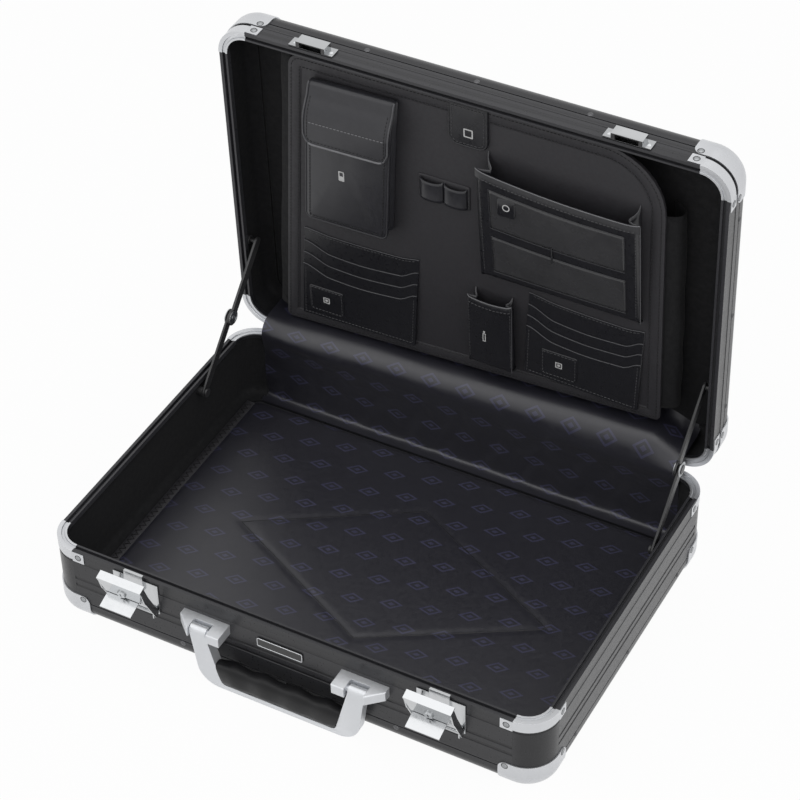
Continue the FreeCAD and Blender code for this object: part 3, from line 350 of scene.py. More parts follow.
def polishNode(node, finish, edge, segments=2, other=None, isOther=None):
    work = bmesh.new()
    work.from_mesh(frame["nodes"][node].data)
    bmesh.ops.remove_doubles(work, verts=work.verts, dist=polishSet["weld"] * mm)
    bmesh.ops.dissolve_limit(work, angle_limit=math.radians(polishSet["flat"]), verts=work.verts, edges=work.edges)
    bmesh.ops.recalc_face_normals(work, faces=work.faces)
    mesh = bpy.data.meshes.new(camel(node))
    work.to_mesh(mesh)
    work.free()
    for attribute in [a for a in mesh.attributes if a.name == "custom_normal"]:
        mesh.attributes.remove(attribute)
    mesh.materials.clear()
    mesh.materials.append(finish.material)
    if other:
        mesh.materials.append(other.material)
        for face in mesh.polygons:
            face.material_index = int(isOther(face.center / mm))
    mesh.shade_smooth()
    piece = bpy.data.objects.new(camel(node), mesh)
    scene.collection.objects.link(piece)
    bevel = piece.modifiers.new("brokenEdge", "BEVEL")
    bevel.width = edge * mm
    bevel.segments = segments
    bevel.limit_method = "ANGLE"
    bevel.angle_limit = math.radians(polishSet["turn"])
    shading = piece.modifiers.new("faceShading", "WEIGHTED_NORMAL")
    shading.keep_sharp = True
    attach(piece, bodyOf[node])
    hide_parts(node)


shellEdges = {
    "front_wall": 0.3, "rear_wall": 0.3, "side_walls": 0.3, "corner_posts": 0.3, "edge_rails": 0.35,
    "ball_corners": 0.5, "rim_corners": 0.25, "rivets": 0.15,
}
panelEdge = 0.4
railRivets = {"alongX": 150.0, "alongY": 115.0}


# rivets along the rails are dark, those in the corner castings are bare
def onRail(point):
    along = point.y if point.z < hingeAt.z else point.z - hingeAt.z - hingeAt.y
    return abs(point.x) < railRivets["alongX"] or abs(along) < railRivets["alongY"]


for half, panel in (("base", "floor_panel"), ("lid", "top_panel")):
    for part, edge in {panel: panelEdge, **shellEdges}.items():
        node = half + "_" + part
        if part in ("ball_corners", "rim_corners"):
            polishNode(node, cornerMetal, edge)
        elif part == "rivets":
            polishNode(node, rivetSteel, edge, other=railSteel, isOther=onRail)
        else:
            polishNode(node, anodised, edge)
handleEdges = {"handle_brackets": 0.9, "handle_bow": 1.7}
for node, edge in handleEdges.items():
    polishNode(node, castSilver, edge, segments=4)
latchEdges = {"latch_plate": 0.25, "latch_hasp": 0.35, "latch_flap": 0.35, "lock_plug": 0.25}
keeperSet = {"edge": 0.45, "middle": 141.0, "half": 10.6, "front": 160.2, "low": 402.5, "top": 406.5}


# the keeper's slot is painted dark inside, painted shade in its recess
def inShadedSlot(point):
    across = abs(abs(point.x) - keeperSet["middle"]) < keeperSet["half"]
    return across and point.y < keeperSet["front"] and keeperSet["low"] < point.z < keeperSet["top"]


for side in ("left", "right"):
    for part, edge in latchEdges.items():
        polishNode(part + "_" + side, chrome, edge)
    polishNode("keeper_" + side, chrome, keeperSet["edge"], segments=3, other=blackSteel, isOther=inShadedSlot)
steelEdges = {
    "stay_lower_left": 0.4, "stay_lower_right": 0.4, "stay_upper_left": 0.4, "stay_upper_right": 0.4,
    "stay_base_pivots": 0.3, "stay_lid_pivots": 0.3, "hinge_base_leaf": 0.2, "hinge_lid_leaf": 0.2,
    "hinge_pin": 0.2,
}
for node, edge in steelEdges.items():
    polishNode(node, blackSteel, edge)
badgeSet = {"edge": 0.4, "corner": 2.0, "inset": 0.8, "sunk": 0.1, "line": 0.4}
polishNode("badge_plate", badgeGloss, badgeSet["edge"], segments=3)


# long runs of a line cut in short steps, as many as its guide line needs
def cutRuns(points, run, closed=False, guide=None):
    guide = guide or points
    made = []
    for index, point in enumerate(points):
        made.append(point)
        if index + 1 == len(points) and not closed:
            break
        after = (index + 1) % len(points)
        count = int((guide[after] - guide[index]).length / run)
        made += [point.lerp(points[after], (step + 1) / (count + 1)) for step in range(count)]
    return made


def insetOutline(points, inset):
    area = sum(points[i - 1].x * points[i].y - points[i].x * points[i - 1].y for i in range(len(points)))
    side = 1.0 if area > 0 else -1.0
    made = []
    for index, point in enumerate(points):
        before = (point - points[index - 1]).normalized()
        after = (points[(index + 1) % len(points)] - point).normalized()
        first = Vector((-before.y, before.x)) * side
        second = Vector((-after.y, after.x)) * side
        made.append(point + (first + second) / max(0.4, 1.0 + first.dot(second)) * inset)
    return made


# the faces between rings of equal count, with end faces unless the rings stay open
def ringFaces(rings, count, capped=True, closed=False):
    faces = []
    for ring in range(rings if closed else rings - 1):
        for i in range(count):
            ahead = (i + 1) % count
            after = (ring + 1) % rings
            faces.append((ring * count + i, ring * count + ahead, after * count + ahead, after * count + i))
    if capped and not closed:
        faces.append(tuple(reversed(range(count))))
        faces.append(tuple(range((rings - 1) * count, rings * count)))
    return faces


# a closed outline, with round corners where radii are given, that can be drawn in
class Outline:
    def __init__(self, corners, radii=None, run=6.0, arcSteps=6):
        self.corners = [Vector(corner) for corner in corners]
        self.radii = radii
        self.run = run
        self.arcSteps = arcSteps

    def arcs(self, inset):
        corners = insetOutline(self.corners, inset)
        made = []
        for index, here in enumerate(corners):
            back = (corners[index - 1] - here).normalized()
            ahead = (corners[(index + 1) % len(corners)] - here).normalized()
            half = back.angle(ahead) / 2
            radius = max(0.4, self.radii[index] - inset)
            centre = here + (back + ahead).normalized() * (radius / math.sin(half))
            leg = radius / math.tan(half)
            first, last = (math.atan2(*reversed(here + way * leg - centre)) for way in (back, ahead))
            sweep = (last - first + math.pi) % (2 * math.pi) - math.pi
            for step in range(self.arcSteps + 1):
                angle = first + sweep * step / self.arcSteps
                made.append(centre + Vector((math.cos(angle), math.sin(angle))) * radius)
        return made

    def ring(self, inset=0.0):
        if not self.radii:
            return insetOutline(self.corners, inset)
        return cutRuns(self.arcs(inset), self.run, True, self.arcs(0.0))


# rings of an outline at (inset, height) steps, closed by a face or a crowned cushion at the end
cushionSet = {"shares": (0.94, 0.84, 0.7, 0.52, 0.32, 0.12), "power": 2.4, "ruffleRun": 17.0}


def plateMesh(outline, profile, place=lidPlace, crown=0.0, capped=True, ruffle=0.0):
    rings = [[(p.x, p.y, height) for p in outline.ring(inset)] for inset, height in profile]
    last = rings[-1]
    if crown:
        middle = sum((Vector(p[:2]) for p in last), Vector((0, 0))) / len(last)
        for share in cushionSet["shares"]:
            ring = []
            for x, y, height in last:
                spot = middle + (Vector((x, y)) - middle) * share
                wave = ruffle * noise.noise((*(spot / cushionSet["ruffleRun"]), profile[-1][1]))
                ring.append((*spot, height + (crown + wave) * (1 - share ** cushionSet["power"])))
            rings.append(ring)
    return [place(*p) for ring in rings for p in ring], ringFaces(len(rings), len(last), capped)


def gridMesh(columns, rows, place, flip=False):
    verts = [place(c / columns, r / rows) for r in range(rows + 1) for c in range(columns + 1)]
    faces = []
    for r, c in product(range(rows), range(columns)):
        a = r * (columns + 1) + c
        face = (a, a + 1, a + columns + 2, a + columns + 1)
        faces.append(face[::-1] if flip else face)
    return verts, faces


# a section of (side, up) points carried along a path, the sides and ups given for the whole path
def bandMesh(path, section, side, up):
    return [p + (side * s + up * u) * mm for p in path for s, u in section], ringFaces(len(path), len(section))


def tubeMesh(path, radius, closed=False, sides=8):
    verts = []
    count = len(path)
    normal = None
    for index, point in enumerate(path):
        ahead = path[(index + 1) % count] if closed or index + 1 < count else point
        behind = path[index - 1] if closed or index else point
        along = (ahead - behind).normalized()
        normal = normal or along.orthogonal()
        normal = (normal - along * normal.dot(along)).normalized()
        side = along.cross(normal)
        verts += [point + (normal * c + side * s) * mm for c, s in circle(sides, radius)]
    return verts, ringFaces(count, sides, closed=closed)


def joinMeshes(parts):
    verts, faces = [], []
    for moreVerts, moreFaces in parts:
        faces += [tuple(index + len(verts) for index in face) for face in moreFaces]
        verts += moreVerts
    return verts, faces


# dark rings of painted shade round the corner rivets: x and y of the rivets, how proud, height in base and lid
rivetShadeSet = {
    "radius": 2.75, "line": 0.32, "sides": 20,
    "rim": (197.5, 127.5, 0.35, 71.6, 33.6), "foot": (197.0, 127.0, 1.15, 24.1, 24.1),
}
for half in ("base", "lid"):
    rings = []
    for place, signX, signY, onSide in product(("rim", "foot"), (-1, 1), (-1, 1), (False, True)):
        sideX, sideY, proud, baseZ, lidZ = rivetShadeSet[place]
        ring = []
        for swing, lift in circle(rivetShadeSet["sides"], rivetShadeSet["radius"]):
            x = signX * (case["halfWidth"] + proud) if onSide else signX * sideX + swing
            y = signY * sideY + swing if onSide else signY * (case["halfDepth"] + proud)
            if half == "base":
                ring.append(basePlace(x, y, baseZ + lift))
            else:
                ring.append(lidPlace(x, -y, lidZ - case["lidRim"] + lift))
        rings.append(tubeMesh(ring, rivetShadeSet["line"], True, 6))
    putPiece(half + "RivetSeats", joinMeshes(rings), blackSteel, half, slot="silver_cast")

# a bright line round the badge
badgeLow, badgeHigh = (Vector(corner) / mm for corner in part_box("badge_plate"))
badgeOutline = Outline(rectangle(badgeLow.x, badgeHigh.x, badgeLow.z, badgeHigh.z), [badgeSet["corner"]] * 4)
badgeLoop = [basePlace(p.x, badgeLow.y + badgeSet["sunk"], p.y) for p in badgeOutline.ring(badgeSet["inset"])]
putPiece("badgeLine", tubeMesh(badgeLoop, badgeSet["line"], True), castSilver, "base", slot="silver_cast")

# turned caps on the stays' knees, a bare ring round a riveted middle
kneeSet = {
    "outer": (218.6, 1), "inner": (214.2, -1), "sides": 28,
    "profile": [(6.9, -0.1), (6.9, 0.5), (6.5, 0.8), (5.0, 0.8), (4.7, 0.5), (3.0, 0.5), (2.6, 0.9), (1.4, 1.2),
                (0.2, 1.25)],
}
for side, sign in (("left", -1), ("right", 1)):
    knee = Vector(jointOf["stay_upper_" + side]["pos_m"]) / mm
    caps = []
    for reach, way in (kneeSet["outer"], kneeSet["inner"]):
        verts = [basePlace(sign * (reach + way * lift), knee.y + c, knee.z + s)
                 for radius, lift in kneeSet["profile"] for c, s in circle(kneeSet["sides"], radius)]
        caps.append((verts, ringFaces(len(kneeSet["profile"]), kneeSet["sides"])))
    putPiece("stayKnee" + side.capitalize(), joinMeshes(caps), rivetSteel, "stay_upper_" + side, slot="black_steel",
             smooth=40)
print("shell and metal parts polished")

# rows of single stitches, little sunk beads of thread
stitchSet = {
    "pitch": 3.4, "length": 2.4, "radius": 0.42, "sides": 6,
    "bead": [(-0.5, 0.3), (-0.32, 0.95), (0.32, 0.95), (0.5, 0.3)],
}


def stitchMesh(paths, up=lidOut):
    verts, faces = [], []
    beadFaces = ringFaces(len(stitchSet["bead"]), stitchSet["sides"])
    for path in paths:
        travelled = stitchSet["pitch"] / 2
        for start, end in zip(path, path[1:]):
            run = (end - start).length / mm
            if run < 0.01:
                continue
            along = (end - start).normalized()
            across = up.cross(along).normalized()
            while travelled < run:
                centre = start + along * travelled * mm
                faces += [tuple(index + len(verts) for index in face) for face in beadFaces]
                for share, size in stitchSet["bead"]:
                    middle = centre + along * stitchSet["length"] * share * mm
                    verts += [middle + (across * c + up * s) * mm
                              for c, s in circle(stitchSet["sides"], stitchSet["radius"] * size)]
                travelled += stitchSet["pitch"]
            travelled -= run
    return verts, faces


# a smooth line through a few points
def smoothLine(points, step):
    points = [Vector(point) for point in points]
    made = []
    for index in range(len(points) - 1):
        p0 = points[max(index - 1, 0)]
        p1, p2 = points[index], points[index + 1]
        p3 = points[min(index + 2, len(points) - 1)]
        count = max(1, round((p2 - p1).length / step))
        for k in range(count):
            t = k / count
            made.append(0.5 * (2 * p1 + (p2 - p0) * t + (2 * p0 - 5 * p1 + 4 * p2 - p3) * t * t
                               + (3 * p1 - p0 - 3 * p2 + p3) * t ** 3))
    return made + [points[-1]]


# cloth held at its pinned points, drawn by gravity times pull, then kept as the piece's own shape
clothSet = {
    "quality": 6, "mass": 0.2, "tension_stiffness": 12.0, "compression_stiffness": 12.0, "shear_stiffness": 4.0,
    "bending_stiffness": 0.4, "vertex_group_mass": "pinned",
}


def settleCloth(piece, pins, wanted):
    before = [vertex.co.copy() for vertex in piece.data.vertices]
    piece.vertex_groups.new(name="pinned").add(pins, 1.0, "REPLACE")
    cloth = piece.modifiers.new("settle", "CLOTH")
    for key, value in clothSet.items():
        setattr(cloth.settings, key, value)
    cloth.settings.shrink_min = -wanted["grow"]
    cloth.settings.effector_weights.gravity = wanted["pull"]
    cloth.collision_settings.use_collision = False
    cloth.point_cache.frame_start = 1
    cloth.point_cache.frame_end = wanted["frames"]
    for number in range(1, wanted["frames"] + 1):
        scene.frame_set(number)
    settled = piece.evaluated_get(bpy.context.evaluated_depsgraph_get()).data
    after = [vertex.co.copy() for vertex in settled.vertices]
    piece.modifiers.remove(cloth)
    piece.vertex_groups.clear()
    for vertex, old, new in zip(piece.data.vertices, before, after):
        move = new - old
        vertex.co = old + move * min(1.0, wanted["cap"] * mm / max(move.length, 1e-9))
    scene.frame_set(1)
    most = max((new - old).length for new, old in zip(after, before)) / mm
    print(piece.name, "settled, most moved", round(most, 2), "mm")


# linings of the walls, with the cove down to the floor
linerSet = {
    "wave": 0.4, "calm": 0.15, "step": 8.0, "arcSteps": 8, "skin": 1.1, "rimDrop": 5.3, "web": 5.45, "webEnd": 17.0,
    "cove": [(5.5, 14.0), (6.0, 11.8), (7.3, 9.8), (9.3, 8.4), (11.8, 7.5), (14.6, 7.1), (17.6, 7.0), (17.9, 5.6)],
}


# points along the walls with the way inward, from the rear left round to the rear right
def wallLine():
    cornerX = case["halfWidth"] - case["corner"]
    cornerY = case["halfDepth"] - case["corner"]
    corners = ((-cornerX, cornerY, 90), (-cornerX, -cornerY, 180), (cornerX, -cornerY, 270), (cornerX, cornerY, 0))
    line = []
    for x, y, first in corners:
        for step in range(linerSet["arcSteps"] + 1):
            angle = math.radians(first + 90 * step / linerSet["arcSteps"])
            out = Vector((math.cos(angle), math.sin(angle)))
            line.append((Vector((x, y)) + out * case["corner"], -out))
    made = []
    for (point, inward), (ahead, inwardAhead) in zip(line, line[1:]):
        count = int((ahead - point).length / linerSet["step"]) + 1
        made += [(point.lerp(ahead, k / count), inward.lerp(inwardAhead, k / count)) for k in range(count)]
    return made + [line[-1]]


def linerProfile(rim):
    top = rim - linerSet["rimDrop"]
    web = [(linerSet["web"], top - 0.6 - (top - linerSet["webEnd"]) * k / 7) for k in range(8)]
    return [(3.7, top - 1.0), (4.1, top), (4.9, top)] + web + linerSet["cove"]


def wallLiner(name, rim, place, flip, body, node):
    line = wallLine()
    profile = linerProfile(rim)

    def spot(u, v):
        point, inward = line[round(u * (len(line) - 1))]
        depth, z = profile[round(v * (len(profile) - 1))]
        calm = 1.0 if 8.0 < z < rim - 6.5 else linerSet["calm"]
        depth += calm * linerSet["wave"] * noise.noise((point.x / 45.0, point.y / 45.0, z / 22.0))
        at = point + inward * depth
        return place(at.x, at.y, z)

    shape = gridMesh(len(line) - 1, len(profile) - 1, spot, flip)
    thicken(putPiece(name, shape, liningCloth, body, [node], "lining", closed=False, smooth=60), linerSet["skin"])


wallLiner("baseWallLining", case["baseRim"], basePlace, False, "base", "base_wall_liner")
wallLiner("lidWallLining", case["lidRim"], lambda x, y, z: lidPlace(x, -y, z - case["lidRim"]), True, "lid",
          "lid_wall_liner")
backSet = {"half": (212, 142), "corner": 9, "profile": [(0, -35.1), (0, -34.0), (0.6, -33.4), (2.2, -33.2)]}
backX, backH = backSet["half"]
backOutline = Outline(rectangle(-backX, backX, -backH, backH), [backSet["corner"]] * 4, 30.0)
putPiece("lidBackLining", plateMesh(backOutline, backSet["profile"]), liningCloth, "lid", ["lid_back_liner"],
         "lining")
print("wall linings made")

# the printed satin: plain lozenge rings in a half-drop repeat, over a fine slanting weave
motif = {
    "cell": (0.034, 0.026), "half": (0.0088, 0.0050), "band": 0.18, "core": 0.38, "twill": 330.0, "twillTurn": 52.0,
    "ground": (0.012, 0.012, 0.017), "dark": (0.0115, 0.0113, 0.0172), "light": (0.0170, 0.0168, 0.0245),
    "print": (0.046, 0.046, 0.092),
}
satin = Finish("printedSatin", motif["ground"], 0.36, gloss=(240, 0.33, 0.43),
               more={"IOR": 1.64, "Sheen Weight": 0.08, "Sheen Roughness": 0.4})
sums = satin.sums
clothCoords = satin.add("SeparateXYZ")
satin.join(satin.coords("UV"), clothCoords.inputs[0])
row = sums("DIVIDE", clothCoords.outputs[1], motif["cell"][1])
drop = sums("MULTIPLY", sums("MODULO", sums("FLOOR", row), 2.0), 0.5)
column = sums("ADD", sums("DIVIDE", clothCoords.outputs[0], motif["cell"][0]), drop)
widths = []
for share, cell, half in zip((column, row), motif["cell"], motif["half"]):
    off = sums("SUBTRACT", sums("FRACT", share), 0.5)
    widths.append(sums("MULTIPLY", sums("ABSOLUTE", off), cell / half))
lozenge = sums("ADD", widths[0], widths[1])
ringMark = sums("LESS_THAN", sums("ABSOLUTE", sums("SUBTRACT", lozenge, 1.0)), motif["band"])
coreMark = sums("LESS_THAN", lozenge, motif["core"])
printMark = sums("MULTIPLY", sums("MAXIMUM", ringMark, coreMark), satin.spread(satin.grain(900), 0.7, 1.0))
ground = satin.mixed(satin.grain(70), motif["dark"], motif["light"])
satin.colour(satin.mixed(printMark, ground, motif["print"]))
twill = satin.add("TexWave", {"Scale": motif["twill"], "Distortion": 0.3})
satin.join(satin.coords("UV", (0, 0, math.radians(motif["twillTurn"]))), twill.inputs["Vector"])
satin.bump(twill.outputs["Fac"], 0.06, 0.25)
satin.bump(satin.grain(38, 2), 0.8, 0.32)

# one satin sheet up the rear wall, over the hinge and up behind the organiser's foot
satinSet = {
    "halfWidth": 205.0, "step": 4.5, "streak": 0.7, "ripple": 0.25, "grow": 0.006, "pull": 0.4, "cap": 0.7,
    "frames": 18, "rise": 13.0, "riseFrom": -187.0, "riseOver": 363.0, "riseEnd": 30.0, "riseLow": 79.0,
    "riseHeight": 14.0, "tackMiddle": 45.0, "tackHalf": 26.0, "tackEvery": 9,
    "line": [(142.0, 7.6), (151.8, 7.7), (153.7, 8.9), (154.1, 12.0), (154.3, 34.0), (154.2, 56.0), (152.6, 68.0),
             (150.9, 74.5), (150.6, 79.0), (152.4, 84.4), (156.8, 89.2), (162.8, 92.2), (169.0, 93.2), (175.0, 93.4),
             (182.0, 93.6), (189.0, 94.2), (195.0, 95.8), (197.6, 99.0)],
}
satinLine = smoothLine(satinSet["line"], satinSet["step"])
satinRun = [0.0]
for here, ahead in zip(satinLine, satinLine[1:]):
    satinRun.append(satinRun[-1] + (ahead - here).length)
satinColumns = round(2 * satinSet["halfWidth"] / satinSet["step"])


def satinSpot(u, v):
    index = round(v * (len(satinLine) - 1))
    x = (2 * u - 1) * satinSet["halfWidth"]
    y, z = satinLine[index]
    slope = clamp((x - satinSet["riseFrom"]) / satinSet["riseOver"])
    slope *= min(1.0, (satinSet["halfWidth"] - x) / satinSet["riseEnd"])
    z += satinSet["rise"] * slope * ease(clamp((z - satinSet["riseLow"]) / satinSet["riseHeight"]))
    streak = satinSet["streak"] * noise.noise((x / 70.0, satinRun[index] / 9.0 + x / 160.0, 3.7))
    streak *= min(1.0, index / 6)
    ripple = satinSet["ripple"] * noise.noise((x / 30.0, index / 5.0, 0.0))
    return basePlace(x, y + ripple - streak, z + streak)


satinGrid = list(product(range(len(satinLine)), range(satinColumns + 1)))
satinUvs = [((2 * c / satinColumns - 1) * satinSet["halfWidth"] * mm, satinRun[r] * mm) for r, c in satinGrid]
satinSheet = putPiece("satinSheet", gridMesh(satinColumns, len(satinLine) - 1, satinSpot), satin, closed=False,
                      smooth=80, uvs=satinUvs)
held = []
for index, (r, c) in enumerate(satinGrid):
    border = r in (0, len(satinLine) - 1) or c in (0, satinColumns)
    low = abs(satinLine[r].y - satinSet["tackMiddle"]) < satinSet["tackHalf"]
    if border or low and c % satinSet["tackEvery"] == 0:
        held.append(index)
settleCloth(satinSheet, held, satinSet)
refine(satinSheet)
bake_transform(satinSheet, "base", "lid", start=(0, 0.151, 0.078), end=(0, 0.164, 0.0905))
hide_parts("base_rear_liner", "hinge_cloth", "lid_rear_liner")
print("satin sheet made, run", round(satinRun[-1], 1), "mm")

# padded floor, sewn along a slanting four-sided seam
padSet = {
    "half": (212.0, 142.0), "corner": 9.0, "top": 7.5, "foot": 4.9, "step": 3.6, "cap": 0.4, "pull": -0.3,
    "grow": 0.006, "frames": 18, "edgeDrop": 0.7, "edgeRun": 7.0, "printTurn": (0.966, 0.259),
    "seam": [(-137.0, -5.0), (0.0, 80.0), (156.0, 1.0), (17.0, -82.0)], "seamHalf": 1.9, "seamSunk": 0.3,
    "seamLine": 0.6, "seamDrop": 0.4, "seamRun": 3.0,
}
padColumns, padRows = (round(2 * half / padSet["step"]) for half in padSet["half"])
seamEnds = [Vector(point) for point in padSet["seam"]]
seamSides = list(zip(seamEnds, seamEnds[1:] + seamEnds[:1]))


def seamAway(point):
    away = []
    for start, end in seamSides:
        run = end - start
        share = clamp((point - start).dot(run) / run.length_squared)
        away.append((point - start - run * share).length)
    return min(away)


# the outermost row is the foot of the pad's side, the rest its top
def padSpot(u, v):
    halves, corner = padSet["half"], padSet["corner"]
    flat = [(2 * share - 1) * half for share, half in zip((u, v), halves)]
    core = Vector([max(corner - half, min(half - corner, at)) for at, half in zip(flat, halves)])
    off = Vector(flat) - core
    if off.x and off.y:
        off = off.normalized() * max(abs(off.x), abs(off.y))
    spot = core + off
    edge = min(half - abs(at) for at, half in zip(flat, halves))
    z = padSet["top"] - padSet["edgeDrop"] * max(0.0, 1.0 - edge / padSet["edgeRun"])
    if edge < 0.5:
        z = padSet["foot"]
    z -= padSet["seamDrop"] * max(0.0, 1.0 - seamAway(spot) / padSet["seamRun"])
    return basePlace(spot.x, spot.y, z)


padVerts, padFaces = gridMesh(padColumns, padRows, padSpot)
turnCos, turnSin = padSet["printTurn"]
padUvs = [(vert.x * turnCos + vert.y * turnSin, vert.y * turnCos - vert.x * turnSin) for vert in padVerts]
floorPad = putPiece("floorPad", (padVerts, padFaces), satin, closed=False, smooth=80, uvs=padUvs)
sewn = []
for index, vert in enumerate(padVerts):
    c, r = index % (padColumns + 1), index // (padColumns + 1)
    border = min(c, r, padColumns - c, padRows - r) < 2
    if border or seamAway(Vector((vert.x / mm, vert.y / mm))) < padSet["seamHalf"]:
        sewn.append(index)
settleCloth(floorPad, sewn, padSet)
refine(floorPad)
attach(floorPad, "base")
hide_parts("base_floor_pad")
seamZ = padSet["top"] - padSet["seamSunk"]
seamPaths = [[basePlace(p.x, p.y, seamZ) for p in cutRuns(ends, 8.0)] for ends in seamSides]
seamLine = [p - baseUp * padSet["seamSunk"] / 2 * mm for path in seamPaths for p in path[:-1]]
putPiece("floorSeam", tubeMesh(seamLine, padSet["seamLine"], True, 6), darkThread, "base", slot="satin")
putPiece("floorSeamStitches", stitchMesh(seamPaths, baseUp), darkThread, "base", slot="satin")

# a flat tape with a zigzag row holds the floor sheet along the left side
tapeSet = {
    "x": -211.0, "from": -128.0, "to": 132.0, "over": 3.0, "z": 7.3, "half": 4.2, "edge": 0.5, "thick": 0.9,
    "shoulder": 0.6, "rowZ": 8.3, "swing": 2.5, "pitch": 3.2, "radius": 0.55,
}
tapePath = [basePlace(tapeSet["x"], y, tapeSet["z"])
            for y in (tapeSet["from"] - tapeSet["over"], tapeSet["to"] + tapeSet["over"])]
tapeSide = [(tapeSet["half"], 0), (tapeSet["half"], tapeSet["edge"]),
            (tapeSet["half"] - tapeSet["shoulder"], tapeSet["thick"])]
tapeSection = [(-across, up) for across, up in tapeSide] + tapeSide[::-1]
putPiece("floorTape", bandMesh(tapePath, tapeSection, Vector((1, 0, 0)), baseUp), panelCloth, "base", slot="satin")
turns = int((tapeSet["to"] - tapeSet["from"]) / tapeSet["pitch"])
zigzag = [basePlace(tapeSet["x"] + tapeSet["swing"] * (1 if k % 2 else -1), tapeSet["from"] + k * tapeSet["pitch"],
                    tapeSet["rowZ"]) for k in range(turns + 1)]
putPiece("floorZigzag", tubeMesh(zigzag, tapeSet["radius"], sides=6), darkThread, "base", slot="satin")
print("floor pad made")

# the handle's grip: a rounded bar with finger waves along its upper side
gripSet = {
    "low": 7.0, "high": 28.0, "lowHalf": 52.0, "highHalf": 58.6, "middle": -172.0, "thick": 7.4, "waves": 4,
    "rise": 2.0, "pinch": 0.16, "endFrom": 0.93, "endThin": 0.12, "square": 0.62, "rings": 72, "sides": 28,
}


def gripRing(along):
    end = max(0.0, (abs(along) - gripSet["endFrom"]) / (1 - gripSet["endFrom"]))
    shrink = 1.0 - gripSet["endThin"] * end * end
    wave = 0.5 - 0.5 * math.cos(math.pi * gripSet["waves"] * (along + 1))
    low = gripSet["low"]
    top = gripSet["high"] + gripSet["rise"] * wave
    thick = gripSet["thick"] * (1.0 - gripSet["pinch"] * (1.0 - wave)) * shrink
    half = (top - low) / 2 * (0.97 + 0.03 * shrink)
    ring = []
    for c, s in circle(gripSet["sides"]):
        y = gripSet["middle"] + thick * math.copysign(abs(c) ** gripSet["square"], c)
        z = (low + top) / 2 + half * math.copysign(abs(s) ** gripSet["square"], s)
        reach = between(gripSet["lowHalf"], gripSet["highHalf"], (z - low) / (gripSet["high"] - low))
        ring.append(basePlace(along * reach, y, z))
    return ring


gripVerts = [p for k in range(gripSet["rings"] + 1) for p in gripRing(2 * k / gripSet["rings"] - 1)]
putPiece("handleGrip", (gripVerts, ringFaces(gripSet["rings"] + 1, gripSet["sides"])), gripRubber, "handle",
         ["handle_grip"], "grip_rubber", smooth=60)
print("grip made")

# organiser panel with its stitched binding
panelSet = {
    "corners": [(-166, 146), (172, 146), (176, -126), (-187, -146)], "radii": [12, 55, 4, 4],
    "profile": [(0.6, -11.0), (0.0, -10.4), (0.0, -8.9), (1.0, -8.2), (3.0, -8.1)],
    "binding": [(1.5, -11.2), (-0.7, -11.1), (-1.0, -9.6), (-0.8, -8.0), (0.6, -7.5), (11.0, -7.45), (11.5, -7.8),
                (11.5, -8.15)],
    "rows": (2.2, 10.0), "rowsOut": -7.35,
}
panelOutline = Outline(panelSet["corners"], panelSet["radii"], 8.0, 10)
putPiece("organiserPanel", plateMesh(panelOutline, panelSet["profile"]), panelCloth, "organiser",
         ["organiser_panel"], "lining")
putPiece("panelBinding", plateMesh(panelOutline, panelSet["binding"], capped=False), panelCloth, "organiser",
         slot="lining", closed=False)


def lidLoop(outline, inset, out, closed=True, place=lidPlace):
    loop = outline.ring(inset)
    return [place(p.x, p.y, out) for p in (loop + loop[:1] if closed else loop)]


panelRows = [lidLoop(panelOutline, inset, panelSet["rowsOut"]) for inset in panelSet["rows"]]
putPiece("panelStitches", stitchMesh(panelRows), darkThread, "organiser", slot="lining")

# folded cloth sides that let the panel lean out
gussetSet = {
    "left": [(-166, 144), (-187, -138)], "right": [(172, 91), (176, -114)], "fold": 15.0, "uneven": 0.12,
    "ripple": 1.6, "tuck": 0.6, "front": -10.6, "depth": 22.0, "skin": 0.8,
}
for side, sign in (("left", -1), ("right", 1)):
    (topX, topH), (lowX, lowH) = gussetSet[side]

    def gussetSpot(u, v):
        fold = gussetSet["fold"] * arch(v) * (1.0 + gussetSet["uneven"] * noise.noise((u * 6.0, v * 2.0, sign)))
        fold += gussetSet["ripple"] * arch(3 * v) - gussetSet["tuck"]
        return lidPlace(between(topX, lowX, u) + sign * fold, between(topH, lowH, u),
                        gussetSet["front"] - gussetSet["depth"] * v)

    gusset = putPiece("gusset" + side.capitalize(), gridMesh(34, 12, gussetSpot), liningCloth, closed=False,
                      smooth=80)
    thicken(gusset, gussetSet["skin"], 0.0)
    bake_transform(gusset, "lid", "organiser", start=tuple(lidPlace(0, 0, -32.0)), end=tuple(lidPlace(0, 0, -12.0)))
    for points in ([gussetSpot(k / 20, 0.5) for k in range(21)], [gussetSpot(0.5, k / 20) for k in range(21)]):
        sum((end - start).length for start, end in zip(points, points[1:]))
    if side == "left":
        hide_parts("organiser_gussets")
print("organiser panel made")

# phone pouch with bellows sides, piping and a flap over its mouth
pouchSet = {
    "corners": [(-144, 128.8), (-64, 130.8), (-73, -10), (-153, -12)], "radii": [3, 3, 7, 7], "crown": 1.7,
    "ruffle": 0.5, "taper": 30.0, "mouth": 0.4, "foot": -8.1,
    "profile": [(2.0, -8.1), (0.5, -6.8), (0.6, -5.9), (3.4, -3.4), (3.8, -2.0), (3.4, -0.8), (0.9, 1.6), (0.2, 2.8),
                (0.1, 4.2), (0.9, 5.4), (2.4, 5.9)],
}
pouchOutline = Outline(pouchSet["corners"], pouchSet["radii"], 7.0)
(flapLeft, flapLeftTop), (flapRight, flapRightTop) = pouchSet["corners"][:2]


# the pouch gets thinner towards its mouth
def pouchPlace(x, h, out):
    top = between(flapLeftTop, flapRightTop, (x - flapLeft) / (flapRight - flapLeft))
    full = between(pouchSet["mouth"], 1, ease(clamp((top - h) / pouchSet["taper"])))
    return lidPlace(x, h, between(pouchSet["foot"], out, full))


